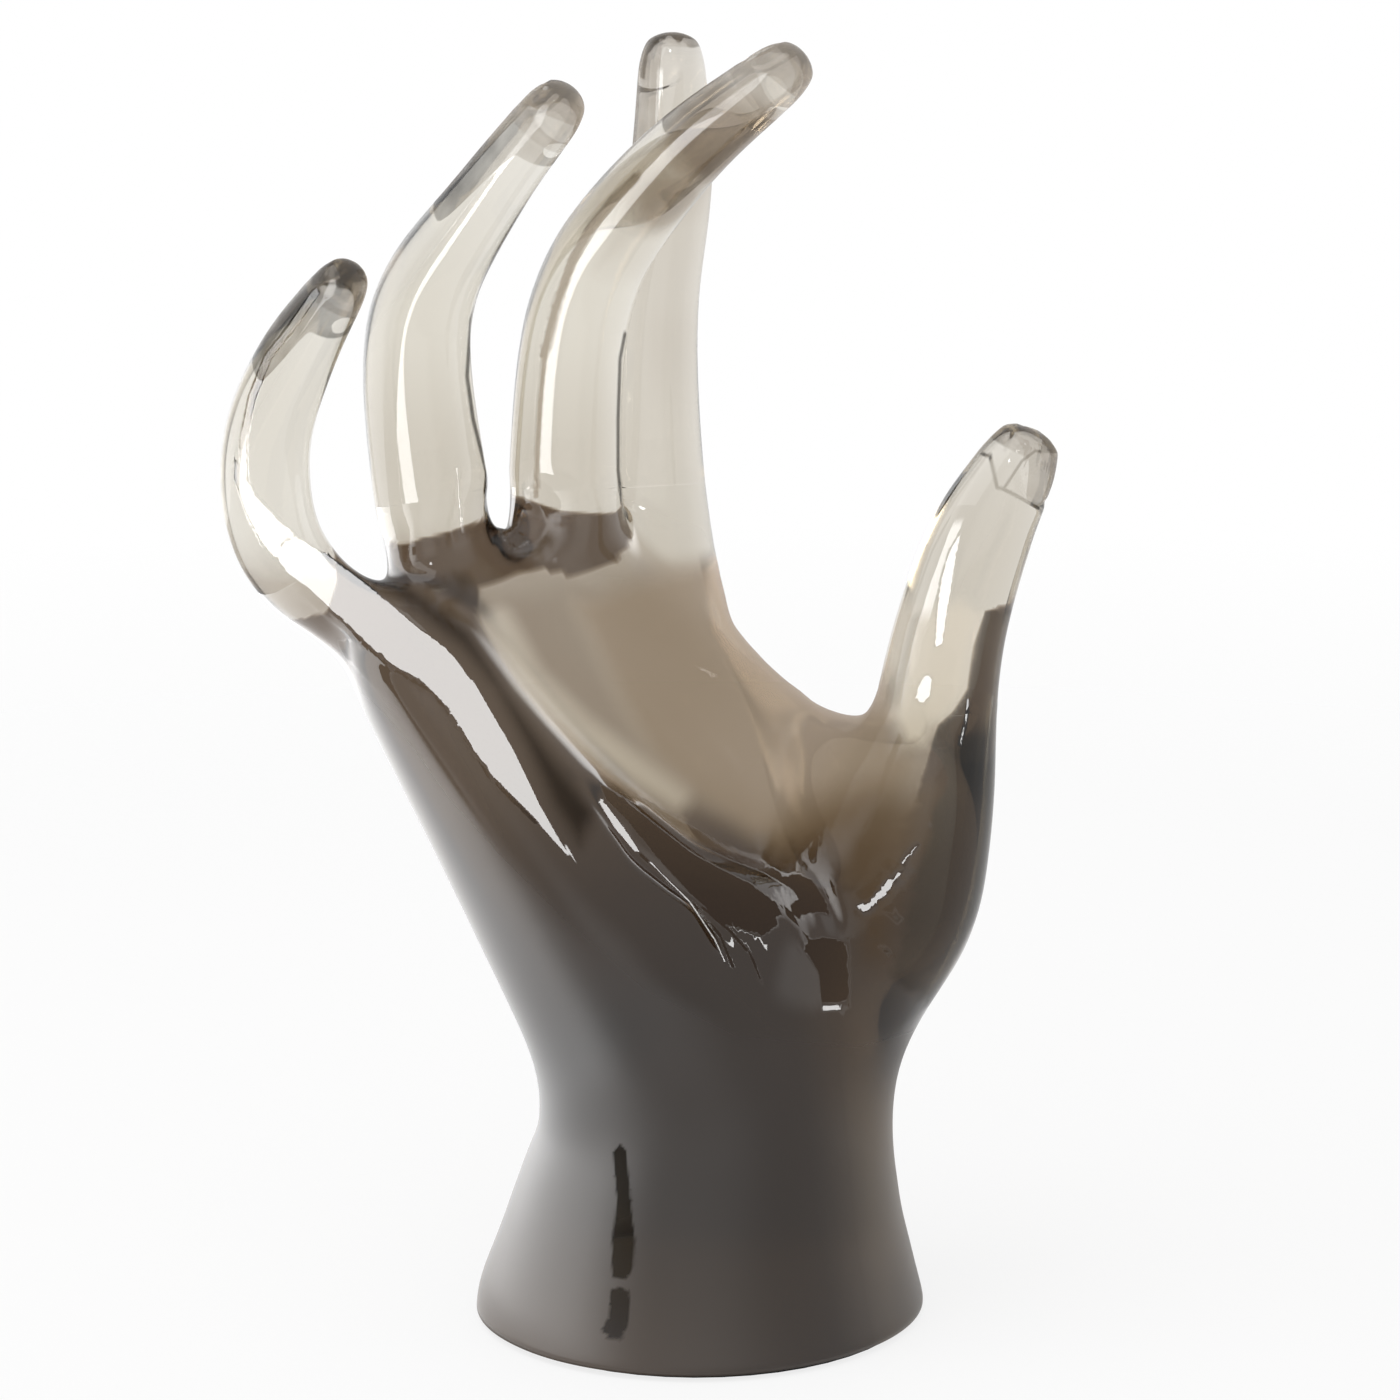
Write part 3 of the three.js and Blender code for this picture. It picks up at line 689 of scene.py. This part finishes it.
def depth_inside(outline, across, up, width=0):
    """How far places lie inside a closed outline, or inside a stroke of some half width."""
    ends = zip(outline, outline[1:] if width else [*outline[1:], outline[0]])
    inside = np.zeros(len(across), bool)
    depth = np.full(len(across), np.inf)
    for (a, b), (c, d) in ends:
        length = math.hypot(c - a, d - b)
        t = np.clip(((across - a) * (c - a) + (up - b) * (d - b)) / length**2, 0, 1)
        depth = np.minimum(depth, np.hypot(across - a - t * (c - a), up - b - t * (d - b)))
        if b != d:
            crosses = (b > up) != (d > up)
            inside ^= crosses & (across < a + (up - b) * (c - a) / (d - b))
    if width:
        return width - depth
    return np.where(inside, depth, -depth)


def marked(marks, across, down):
    """How far places lie inside the deepest of some marks."""
    return np.max([depth_inside(points, across, down, width) for points, width in marks], axis=0)


def facing_camera(normals):
    """1 on the camera's side of the skin, falling to 0 where it turns away."""
    return rising(normals @ np.array(lookout(*VIEW)), 0.05, 0.15)


def paint_skin(skin):
    """Marks the smoke tint with its painted shade, the painted shade of the tips, the painted tones
    of light and shade, and the satin places on the skin.
    """
    places = places_of(skin) / MM
    normals = normals_of(skin)
    front = rising(normals @ np.array(PALM_SIDE), -0.35, 0.3)
    keep_values(skin, "smoke", smoke_and_shade_depth(places, front))
    keep_values(skin, "tip", tip_shade_depth(places))
    picture = on_picture(places * MM)
    ahead = facing_camera(normals)
    unlit = 1 - ahead * within(marked(LIT_MARKS, *picture), MARK_BORDER)
    for name, marks, border, share, _ in VEILS:
        shown = unlit * (ahead if border < CRISP_BORDER else 1)
        keep_values(skin, name, shown * share * within(marked(marks, *picture), border))
    basin = Line(HOLLOW, places * MM).distance / (SOFT_REACH * MM)
    wrist = WRIST_SOFTNESS * within(depth_inside(SOFT_WRIST, *picture), WRIST_BORDER)
    keep_values(skin, "soft", np.maximum(front * falling(basin, 1, 0.3), wrist))


def smoke_and_shade_depth(places, front):
    """How deep the smoke tint and the painted shade are at each place, where front is 1 on the
    palm's side.
    """
    across, back, up = places.T
    hollow = falling(np.hypot(across - HOLLOW_ACROSS, up - HOLLOW_UP), 90, 60)
    hollow *= falling(across, 40, 15)
    border = SMOKE_AND_SHADE_BORDER + HOLLOW_BORDER * hollow * falling(up, 262, 20)
    deep = within(depth_inside(DEEP_SMOKE_AND_SHADE, across, up), border)
    top = SMOKE_AND_SHADE_TOP - SMOKE_AND_SHADE_TOP_DROP * rising(across, 20, 20)
    shallow = PALM_SMOKE_AND_SHADE * falling(up, top, 40)
    shallow += LOW_PALM_SMOKE_AND_SHADE * falling(up, 200, 25) * (across > 0)
    shallow -= THUMB_SIDE_CLEARING * rising(across, 20, 30) * rising(up, 240, 40)
    shallow *= 1 - falling(back, -20, 20) * rising(up, 222, 12)
    heel = HEEL_CLEARING * rising(across, 0, 35) * falling(up, 160, 40)
    smoke = front * (np.maximum(deep, shallow * (up < 300)) - heel)
    smoke += front * DIGIT_SMOKE_AND_SHADE * falling(up, 370, 60) * (1 - deep) * rising(across, -95, 20)
    index = rising(back, 60, 20) * rising(across, 30, 15) * rising(up, 310, 50)
    smoke += front * INDEX_SMOKE_AND_SHADE * index
    for centre, radius, border, share in SHADE_PATCHES:
        reach = np.linalg.norm(places - np.array(centre), axis=1)
        smoke = np.maximum(smoke, front * share * falling(reach, radius, border))
    return smoke + (1 - front) * FOOT_SMOKE_AND_SHADE * falling(up, 200, 90)


def keep_values(skin, name, values):
    kept = skin.attributes.new(name, "FLOAT", "POINT")
    kept.data.foreach_set("value", values.astype(np.float32))


def tip_shade_depth(places):
    """How far each place lies inside the borders of the tips' painted shade: 0.5 on a border, more
    inside.
    """
    found = np.full(len(places), -TIP_SCALE)
    for end, along, side, half_width, reach, further, start, rise in SHADED_TIPS:
        offsets = places - np.array(end)
        depth = -(offsets @ np.array(along))
        beside = offsets + np.outer(depth, along)
        aside = beside @ np.array(side) / half_width
        out = np.linalg.norm(beside, axis=1)
        inside = reach + further * rising(aside, start, rise) - depth
        spot = np.hypot((depth - SPOT_DEPTH) / SPOT_LENGTH, (aside + SPOT_PLACE) / SPOT_WIDTH)
        inside = np.minimum(inside, SPOT_EDGE * (spot - 1))
        near = (out < TIP_WIDTH * half_width) & (depth > -half_width) & (depth < TIP_LENGTH)
        found = np.where(near, np.maximum(found, inside), found)
    return 0.5 + found / TIP_SCALE


def carve(skin):
    """Works the palm's hollow, pads, folds and edge into the smooth skin."""
    places = places_of(skin)
    normals = normals_of(skin)
    front = rising(-normals[:, 1], -0.1, 0.5)
    dip = 1 - rising(Line(HOLLOW, places).distance / (HOLLOW_REACH * MM), 0.35, 0.65)
    places -= normals * (dip * front * HOLLOW_DEPTH * MM)[:, None]
    place_all(skin, places)
    normals = normals_of(skin)
    for points, width, height in RIDGES:
        line = Line(sunk(points, places), places)
        swell = np.exp(-((line.distance / (width * MM)) ** 2)) * line.taper()
        places += normals * (swell * front * height * MM)[:, None]
    place_all(skin, places)
    normals = normals_of(skin)
    for points, width, depth in FOLDS:
        line = Line(sunk(points, places), places)
        reach = line.distance / (width * MM)
        cut = np.exp(-(reach**2)) - LIP_HEIGHT * np.exp(-((reach - LIP_PLACE) ** 2))
        places -= normals * (cut * line.taper() * front * depth * MM)[:, None]
    place_all(skin, places)
    flatten_band(skin)
    for _, *nail in NAILS:
        carve_nail(skin, *nail)


def carve_nail(skin, centre, facing, growing, half_width, half_length):
    """Sinks a groove round a nail and flattens its plate a little."""
    places = places_of(skin)
    normals = normals_of(skin)
    facing = np.array(Vector(facing).normalized())
    growing = np.array(Vector(growing).normalized())
    across = np.cross(growing, facing)
    offsets = (places - np.array(centre) * MM) / MM
    u, v = offsets @ across / half_width, offsets @ growing / half_length
    outer = normals @ facing > 0.1
    v = np.where(v > 0, v * NAIL_TIP, v)
    ring = np.abs(u) ** NAIL_SQUARENESS + np.abs(v) ** NAIL_SQUARENESS
    ring = ring ** (1 / NAIL_SQUARENESS)
    groove = np.exp(-(((ring - 1) / NAIL_GROOVE_WIDTH) ** 2)) * falling(v, 1.1, 0.4)
    plate = falling(ring, 1, 0.12)
    sink = NAIL_GROOVE * groove + NAIL_FLATNESS * plate * (1 - u * u)
    sink *= outer * (np.abs(offsets @ facing) < NAIL_THICKNESS)
    places -= normals * (sink * MM)[:, None]
    place_all(skin, places)


def sunk(points, places):
    """Moves a line's points onto the nearest places of the worked surface."""
    moved = []
    for point in np.array(points, float) * MM:
        offsets = np.linalg.norm(places - point, axis=1)
        nearest = np.argsort(offsets)[:6]
        moved.append(places[nearest].mean(0) / MM)
    return moved


def flatten_band(skin):
    """Flattens the outer edge of the palm into a band."""
    places = places_of(skin)
    line = Line(sunk(EDGE_BAND, places), places)
    facing = np.array(Vector(BAND_FACING).normalized())
    normals = normals_of(skin)
    height = (places - line.nearest) @ facing
    slope = np.maximum(normals @ facing, 0.5)
    width = BAND_WIDTH * MM * falling(line.share, 1.02, 0.45) * rising(line.share, -0.12, 0.2)
    width += 0.1 * MM
    inside = 1 - rising(line.distance / width, 0.85, 0.35)
    moved = np.clip(height / slope * inside * BAND_FLATNESS, -BAND_RISE * MM, BAND_CUT * MM)
    places -= normals * moved[:, None]
    place_all(skin, places)


def ways_to(place, places):
    """The directions from places to one place."""
    ways = np.array(place) - places
    return ways / np.linalg.norm(ways, axis=1)[:, None]


def keep_normals(skin):
    """Keeps the skin's own shading, turned in the facets so that they mirror light or dark."""
    places = places_of(skin)
    normals = normals_of(skin)
    picture = on_picture(places)
    ahead = facing_camera(normals)
    for marks, card in ((DARK_MARKS, DARK_GAP), (LIT_MARKS, TOP_LIGHT)):
        share = (ahead * within(marked(marks, *picture), MARK_BORDER))[:, None]
        facing = ways_to(CAMERA_PLACE, places) + ways_to(place_of(*card), places)
        facing /= np.linalg.norm(facing, axis=1)[:, None]
        normals = normals * (1 - share) + facing * share
    normals /= np.linalg.norm(normals, axis=1)[:, None]
    kept = skin.attributes.new("skin_normal", "FLOAT_VECTOR", "POINT")
    kept.data.foreach_set("vector", normals.astype(np.float32).ravel())


def cut_at_bonds(skin):
    """Splits the smooth skin into six closed castings that all but touch at their bonds."""
    return {name: closed_casting(skin, number, name) for number, name in enumerate(CASTINGS)}


def loops_of(edges):
    """Groups edges into the closed loops that they form, in the same order on each run."""
    left = dict.fromkeys(edges)
    loops = []
    while left:
        queue = [next(iter(left))]
        del left[queue[0]]
        loop = list(queue)
        while queue:
            edge = queue.pop()
            for vertex in edge.verts:
                for other in vertex.link_edges:
                    if other in left:
                        del left[other]
                        queue.append(other)
                        loop.append(other)
        loops.append(loop)
    return loops


def closed_casting(skin, number, name):
    net = bmesh.new()
    net.from_mesh(skin)
    others = [face for face in net.faces if face.material_index != number]
    bmesh.ops.delete(net, geom=others, context="FACES")
    bond = net.faces.layers.float.new("bond")
    side = -1 if name == PALM else 1
    for loop in loops_of([edge for edge in net.edges if edge.is_boundary]):
        rim = dict.fromkeys(vertex for edge in loop for vertex in edge.verts)
        centre = sum((vertex.co for vertex in rim), Vector()) / len(rim)
        digit = min(DIGITS, key=lambda digit: (BONDS[digit][0] - centre).length)
        middle, axis = BONDS[digit]
        for vertex in rim:
            vertex.co -= axis * (vertex.co - middle).dot(axis)
            vertex.co += axis * side * BOND_LINE * MM
        made = bmesh.ops.holes_fill(net, edges=loop, sides=0)["faces"]
        for cap in made:
            cap[bond] = 1.0
            cap.normal_update()
            if cap.normal.dot(axis) * side > 0:
                cap.normal_flip()
    for face in net.faces:
        face.material_index = 0
        face.smooth = True
    check_closed(net, name)
    mesh = mesh_of(net, f"{name}_casting")
    keep_skin_normals(mesh)
    return mesh


def keep_skin_normals(mesh):
    """Shades the skin as one surface across the bonds, and the bonds' faces as flat."""
    kept = vectors_of(mesh.attributes["skin_normal"].data, "vector")
    normals = np.empty((len(mesh.loops), 3), np.float32)
    for face in mesh.polygons:
        on_bond = mesh.attributes["bond"].data[face.index].value > 0.5
        for loop in face.loop_indices:
            vertex = mesh.loops[loop].vertex_index
            normals[loop] = face.normal if on_bond else kept[vertex]
    mesh.normals_split_custom_set(normals.tolist())
    mesh.attributes.remove(mesh.attributes["skin_normal"])


# Finishes


class Wire:
    """A socket's value in a finish, on which sums can be written."""

    def __init__(self, finish, socket):
        self.finish = finish
        self.socket = socket

    def _sum(self, operation, *values):
        settings = {"operation": operation}
        return self.finish.node("ShaderNodeMath", settings, dict(enumerate(values)))

    def __add__(self, other):
        return self._sum("ADD", self, other)

    def __sub__(self, other):
        return self._sum("SUBTRACT", self, other)

    def __rsub__(self, other):
        return self._sum("SUBTRACT", other, self)

    def __mul__(self, other):
        return self._sum("MULTIPLY", self, other)

    __radd__ = __add__
    __rmul__ = __mul__

    def out(self, name):
        """The same node's other output, by name."""
        return Wire(self.finish, self.socket.node.outputs[name])


class Finish:
    """A material or the world, made node by node."""

    def __init__(self, name, owner=None):
        self.owner = owner or bpy.data.materials.new(name)
        self.owner.use_nodes = True
        self.tree = self.owner.node_tree
        self.tree.nodes.clear()

    def node(self, kind, settings=None, values=None):
        """Adds a node, sets it up, then fills its sockets with values or links."""
        made = self.tree.nodes.new(kind)
        for key, setting in (settings or {}).items():
            if key == "stops":
                self._stops(made.color_ramp, setting)
            elif key == "smooth":
                made.color_ramp.interpolation = "EASE"
            else:
                setattr(made, key, setting)
        for key, value in (values or {}).items():
            if isinstance(value, Wire):
                self.tree.links.new(value.socket, made.inputs[key])
            else:
                made.inputs[key].default_value = value
        return Wire(self, made.outputs[0]) if made.outputs else made

    def noise(self, scale, detail, distortion=0.0):
        """Noise laid on the piece's own coordinates."""
        place = self.node("ShaderNodeTexCoord").out("Object")
        values = {"Vector": place, "Scale": scale, "Detail": detail, "Distortion": distortion}
        return self.node("ShaderNodeTexNoise", None, values)

    def painted(self, name):
        """What is marked on the skin under this name."""
        return self.node("ShaderNodeAttribute", {"attribute_name": name}).out("Fac")

    def clear(self, colour=(1, 1, 1)):
        """A surface that light goes straight through, keeping this colour."""
        return self.node("ShaderNodeBsdfTransparent", None, {"Color": (*colour, 1)})

    def mixed(self, share, first, second):
        """The first surface, with a share of the second."""
        return self.node("ShaderNodeMixShader", None, {0: share, 1: first, 2: second})

    def ramp(self, stops, value):
        return self.node("ShaderNodeValToRGB", {"stops": stops}, {"Fac": value})

    def solid(self, sockets):
        return self.node("ShaderNodeBsdfPrincipled", None, sockets)

    def bump(self, strength, distance, height):
        values = {"Strength": strength, "Distance": distance, "Height": height}
        return self.node("ShaderNodeBump", None, values)

    @staticmethod
    def _stops(ramp, stops):
        while len(ramp.elements) < len(stops):
            ramp.elements.new(0.5)
        for element, (at, shade) in zip(ramp.elements, stops):
            element.position = at
            element.color = (*shade, 1) if isinstance(shade, tuple) else (shade, shade, shade, 1)

    def finish(self, surface, volume=None):
        sockets = {"Surface": surface}
        if volume:
            sockets["Volume"] = volume
        kind = "ShaderNodeOutputMaterial"
        if isinstance(self.owner, bpy.types.World):
            kind = "ShaderNodeOutputWorld"
        self.node(kind, None, sockets)
        return self.owner


def deepened(colour, share):
    """The colour that light keeps where the smoke tint and painted shade have this share of their
    depth.
    """
    return tuple(part ** (2 * share) for part in colour)


def resin_finish(name, settings):
    """Polished clear resin with a smoke tint that deepens with its thickness, and painted shade and
    painted light marked on its skin.
    """
    finish = Finish(name)
    stops = [(at, deepened(settings.smoke, at)) for at in SMOKE_AND_SHADE_STOPS]
    # Its base colour carries the smoke tint together with the painted shade marked on the skin.
    surface = finish.solid({
        "Base Color": finish.ramp(stops, finish.painted("smoke")),
        "Roughness": finish.noise(60.0, 4.0) * 0.02 + finish.painted("soft") * SATIN,
        "IOR": RESIN_IOR,
        "Transmission Weight": 1.0,
        "Normal": finish.bump(0.06, 0.002, finish.noise(14.0, 2.0)),
    })
    # Painted shade in the fingertips: there a mottled share of the surface lets light straight
    # through with the tips' grey tint.
    mottle = finish.noise(90.0, 1.0)
    depth = finish.painted("tip") + mottle * 0.04 - 0.02
    share = finish.ramp([(0.49, 0.0), (0.51, 1.0)], depth) * (mottle * 0.5 + 0.25)
    surface = finish.mixed(share, surface, finish.clear(settings.tip))
    # The painted tones: painted light and shade that let part of the light through with their own
    # tint.
    for veil, _, _, _, colour in VEILS:
        surface = finish.mixed(finish.painted(veil), surface, finish.clear(colour))
    surface = finish.mixed(finish.painted("bond"), surface, finish.clear())
    volume = finish.node(
        "ShaderNodeVolumeAbsorption",
        None,
        {"Color": (*settings.tint, 1), "Density": settings.density},
    )
    return finish.finish(surface, volume)


def dowel_finish():
    """Clear bar set in clear adhesive: all but invisible."""
    finish = Finish("clear_bar")
    haze = finish.noise(300.0, 2.0)
    gloss = finish.solid({"Base Color": (0.85, 0.83, 0.8, 1), "Roughness": haze * 0.2 + 0.05})
    return finish.finish(finish.mixed(haze * 0.02, finish.clear(), gloss))


def felt_finish():
    """Short black wool felt."""
    finish = Finish("black_felt")
    fibres = finish.noise(1800.0, 5.0, 1.5)
    nap = fibres * 0.7 + finish.noise(240.0, 2.0) * 0.3
    return finish.finish(finish.solid({
        "Base Color": finish.ramp([(0.3, 0.006), (0.75, 0.045)], nap),
        "Roughness": 0.95,
        "Specular IOR Level": 0.1,
        "Sheen Weight": 0.3,
        "Normal": finish.bump(0.8, 0.0006, fibres),
    }))


def seen_directly(finish):
    """1 where the camera looks, straight or by way of the resin, and 0 for light on the object."""
    path = finish.node("ShaderNodeLightPath")
    seen = path.out("Is Camera Ray") + path.out("Is Glossy Ray") + path.out("Is Transmission Ray")
    return finish.node("ShaderNodeMath", {"operation": "MINIMUM"}, {0: seen, 1: 1.0})


def floor_finish(settings):
    """Pale floor that fades out into the white room."""
    finish = Finish("pale_floor")
    place = finish.node("ShaderNodeTexCoord").out("Object")
    away = finish.node("ShaderNodeVectorMath", {"operation": "LENGTH"}, {0: place}).out("Value")
    fade = finish.ramp([(0.5, 0.0), (0.95, 1.0)], away * (1 / settings.floor_reach))
    paint = finish.solid({
        "Base Color": (*settings.floor_colour, 1),
        "Roughness": finish.noise(3.0, 2.0) * 0.1 + 0.55,
        "Specular IOR Level": 0.2,
    })
    glow = finish.node("ShaderNodeEmission", None, {"Color": (1, 1, 1, 1), "Strength": 1.0})
    white = finish.mixed(seen_directly(finish) * FLOOR_GLOW, paint, glow)
    return finish.finish(finish.mixed(fade, white, finish.clear()))


def glow_finish(name, strength, aside, low, high):
    """A card that glows, less towards its borders, and lets what is behind it show."""
    finish = Finish(name)
    apart = finish.node("ShaderNodeSeparateXYZ", None, {0: finish.node("ShaderNodeUVMap")})
    shares = []
    for place, start, end in ((apart, aside, aside), (apart.out("Y"), low, high)):
        stops = {"smooth": True, "stops": [(0, 0.0), (start, 1.0), (1 - end, 1.0), (1, 0.0)]}
        shares.append(finish.node("ShaderNodeValToRGB", stops, {"Fac": place}))
    colour = {"Color": shares[0] * shares[1], "Strength": strength}
    glow = finish.node("ShaderNodeEmission", None, colour)
    return finish.finish(finish.node("ShaderNodeAddShader", None, {0: finish.clear(), 1: glow}))


def gap_finish():
    """The dim space between two lights."""
    finish = Finish("dark_gap")
    return finish.finish(finish.node("ShaderNodeEmission", None, {"Strength": GAP_GLOW}))


# Sizes and colours that a user may change


def colour_property(name, description, default):
    return FloatVectorProperty(
        name=name, description=description, subtype="COLOR", default=default, min=0, max=1
    )


class CastingSettings(bpy.types.PropertyGroup):
    tint: colour_property("Tint", "Colour that light takes on in the resin", (0.42, 0.32, 0.08))
    density: FloatProperty(
        name="Density", description="How quickly the tint deepens, per metre", default=14.5, min=0
    )
    # The colour of the deepest tint: the resin's smoke together with painted shade.
    smoke: colour_property(
        "Smoke", "Share of the light that the deepest smoke lets through", (0.15, 0.108, 0.078)
    )
    # The grey tint of the painted shade in the fingertips.
    tip: colour_property(
        "Tips", "Share of the light that a dark fingertip lets through", (0.56, 0.52, 0.48)
    )


class StudioSettings(bpy.types.PropertyGroup):
    floor_colour: colour_property("Floor", "Colour of the floor", (0.92, 0.92, 0.92))
    floor_reach: FloatProperty(
        name="Floor reach", description="Radius of the floor", subtype="DISTANCE", default=1.6
    )
    azimuth: FloatProperty(
        name="Azimuth", description="Camera's turn from the front", subtype="ANGLE", default=VIEW[0]
    )
    elevation: FloatProperty(
        name="Elevation", description="Camera's height angle", subtype="ANGLE", default=VIEW[1]
    )


# Operators


class HAND_OT_castings(bpy.types.Operator):
    """Make the palm and the five digits as smooth resin castings"""

    bl_idname = "hand.castings"
    bl_label = "Castings"

    def execute(self, context):
        settings = context.scene.hand_castings
        resin = resin_finish("smoke_resin", settings)
        skin = dense_skin()
        for name, mesh in cut_at_bonds(skin).items():
            piece = linked(mesh, f"{name}_casting")
            dress(mesh, resin)
            hand_over(piece, "smoke_resin", name)
        bpy.data.meshes.remove(skin)
        return {"FINISHED"}


class HAND_OT_dowels(bpy.types.Operator):
    """Finish the clear dowels inside the bonds"""

    bl_idname = "hand.dowels"
    bl_label = "Dowels"

    def execute(self, context):
        finish = dowel_finish()
        for name in DOWELS:
            dress(frame["nodes"][name].data, finish)
        return {"FINISHED"}


class HAND_OT_felt(bpy.types.Operator):
    """Finish the felt pad under the foot"""

    bl_idname = "hand.felt"
    bl_label = "Felt pad"

    def execute(self, context):
        dress(frame["nodes"]["base_felt"].data, felt_finish())
        return {"FINISHED"}


def stand_camera(settings):
    camera = bpy.data.cameras.new("camera")
    camera.lens = LENS
    camera.sensor_width = SENSOR
    camera.clip_start = CLIP_START
    seen = linked(camera, "camera")
    seen.location = CAMERA_PLACE
    seen.rotation_euler = (math.radians(90) - settings.elevation, 0, settings.azimuth)
    bpy.context.scene.camera = seen


def lay_floor(settings):
    net = bmesh.new()
    bmesh.ops.create_circle(net, cap_ends=True, segments=96, radius=settings.floor_reach)
    mesh = mesh_of(net, "floor")
    mesh.materials.append(floor_finish(settings))
    floor = linked(mesh, "floor")


def light_only(card, names):
    """Lets a card shine on the named castings alone."""
    lit = bpy.data.collections.new(f"lit_by_{card.name}")
    for name in names:
        lit.objects.link(bpy.data.objects[f"{name}_casting"])
    card.light_linking.receiver_collection = lit


def hang_card(name, place, width, height, material):
    """A flat card that faces the sculpture, seen only in its reflections."""
    azimuth, elevation, _ = place
    net = bmesh.new()
    net.loops.layers.uv.new("UVMap")
    bmesh.ops.create_grid(net, x_segments=1, y_segments=1, size=0.5, calc_uvs=True)
    bmesh.ops.scale(net, verts=net.verts, vec=(width, height, 1))
    turn = way_of(azimuth, elevation).to_track_quat("Z", "Y").to_matrix().to_4x4()
    bmesh.ops.transform(net, verts=net.verts, matrix=turn)
    bmesh.ops.translate(net, verts=net.verts, vec=place_of(*place))
    mesh = mesh_of(net, name)
    mesh.materials.append(material)
    card = linked(mesh, name)
    card.visible_camera = False
    card.visible_diffuse = False
    card.visible_shadow = False
    card.visible_volume_scatter = False
    card.visible_transmission = False
    return card


def lay_down(sheet, place):
    """Lays a card that hangs at this place flat on the floor."""
    azimuth, elevation, _ = place
    middle = place_of(*place)
    side = way_of(azimuth, elevation).cross(Vector((0, 0, 1)))
    turn = Matrix.Rotation(math.radians(90), 4, side)
    down = Matrix.Translation((middle.x, middle.y, SHEET_HEIGHT * MM))
    sheet.data.transform(down @ turn @ Matrix.Translation(-middle))


def light_room():
    world = bpy.data.worlds.new("white_room")
    bpy.context.scene.world = world
    finish = Finish("white_room", world)
    strength = seen_directly(finish) * (1 - ROOM_LIGHT) + ROOM_LIGHT
    values = {"Color": (1, 1, 1, 1), "Strength": strength}
    finish.finish(finish.node("ShaderNodeBackground", None, values))


def hang_key():
    lamp = bpy.data.lights.new("key", "AREA")
    lamp.shape = "SQUARE"
    lamp.size = KEY_SIZE
    lamp.energy = KEY_POWER
    hung = linked(lamp, "key")
    hung.location = place_of(*KEY_PLACE)
    hung.rotation_euler = way_of(*KEY_PLACE[:2]).to_track_quat("Z", "Y").to_euler()


class HAND_OT_studio(bpy.types.Operator):
    """Lay the floor, light the room and stand the camera"""

    bl_idname = "hand.studio"
    bl_label = "Studio"

    def execute(self, context):
        settings = context.scene.hand_studio
        lay_floor(settings)
        light_room()
        finishes = {name: glow_finish(name, *glow) for name, glow in GLOWS.items()}
        finishes["dark_gap"] = gap_finish()
        for name, finish, place, width, height, lit in CARDS:
            card = hang_card(name, place, width, height, finishes[finish])
            if name == SHEET:
                lay_down(card, place)
            if lit:
                light_only(card, lit)
        hang_key()
        stand_camera(settings)
        context.scene.view_settings.view_transform = "Standard"
        return {"FINISHED"}


class HAND_PT_panel(bpy.types.Panel):
    """The steps that make the sculpture"""

    bl_idname = "HAND_PT_panel"
    bl_label = "Hand sculpture"
    bl_space_type = "VIEW_3D"
    bl_region_type = "UI"
    bl_category = "Hand"

    def draw(self, context):
        layout = self.layout
        for name in ("tint", "density", "smoke", "tip"):
            layout.prop(context.scene.hand_castings, name)
        for name in ("hand.castings", "hand.dowels", "hand.felt"):
            layout.operator(name)
        layout.prop(context.scene.hand_studio, "floor_colour")
        layout.operator("hand.studio")


CLASSES = (
    CastingSettings,
    StudioSettings,
    HAND_OT_castings,
    HAND_OT_dowels,
    HAND_OT_felt,
    HAND_OT_studio,
    HAND_PT_panel,
)


def register():
    for entry in CLASSES:
        bpy.utils.register_class(entry)
    bpy.types.Scene.hand_castings = PointerProperty(type=CastingSettings)
    bpy.types.Scene.hand_studio = PointerProperty(type=StudioSettings)


def unregister():
    del bpy.types.Scene.hand_studio
    del bpy.types.Scene.hand_castings
    for entry in reversed(CLASSES):
        bpy.utils.unregister_class(entry)


def main():
    register()
    bpy.ops.hand.castings()
    bpy.ops.hand.dowels()
    bpy.ops.hand.felt()
    bpy.ops.hand.studio()


if __name__ == "__main__":
    main()
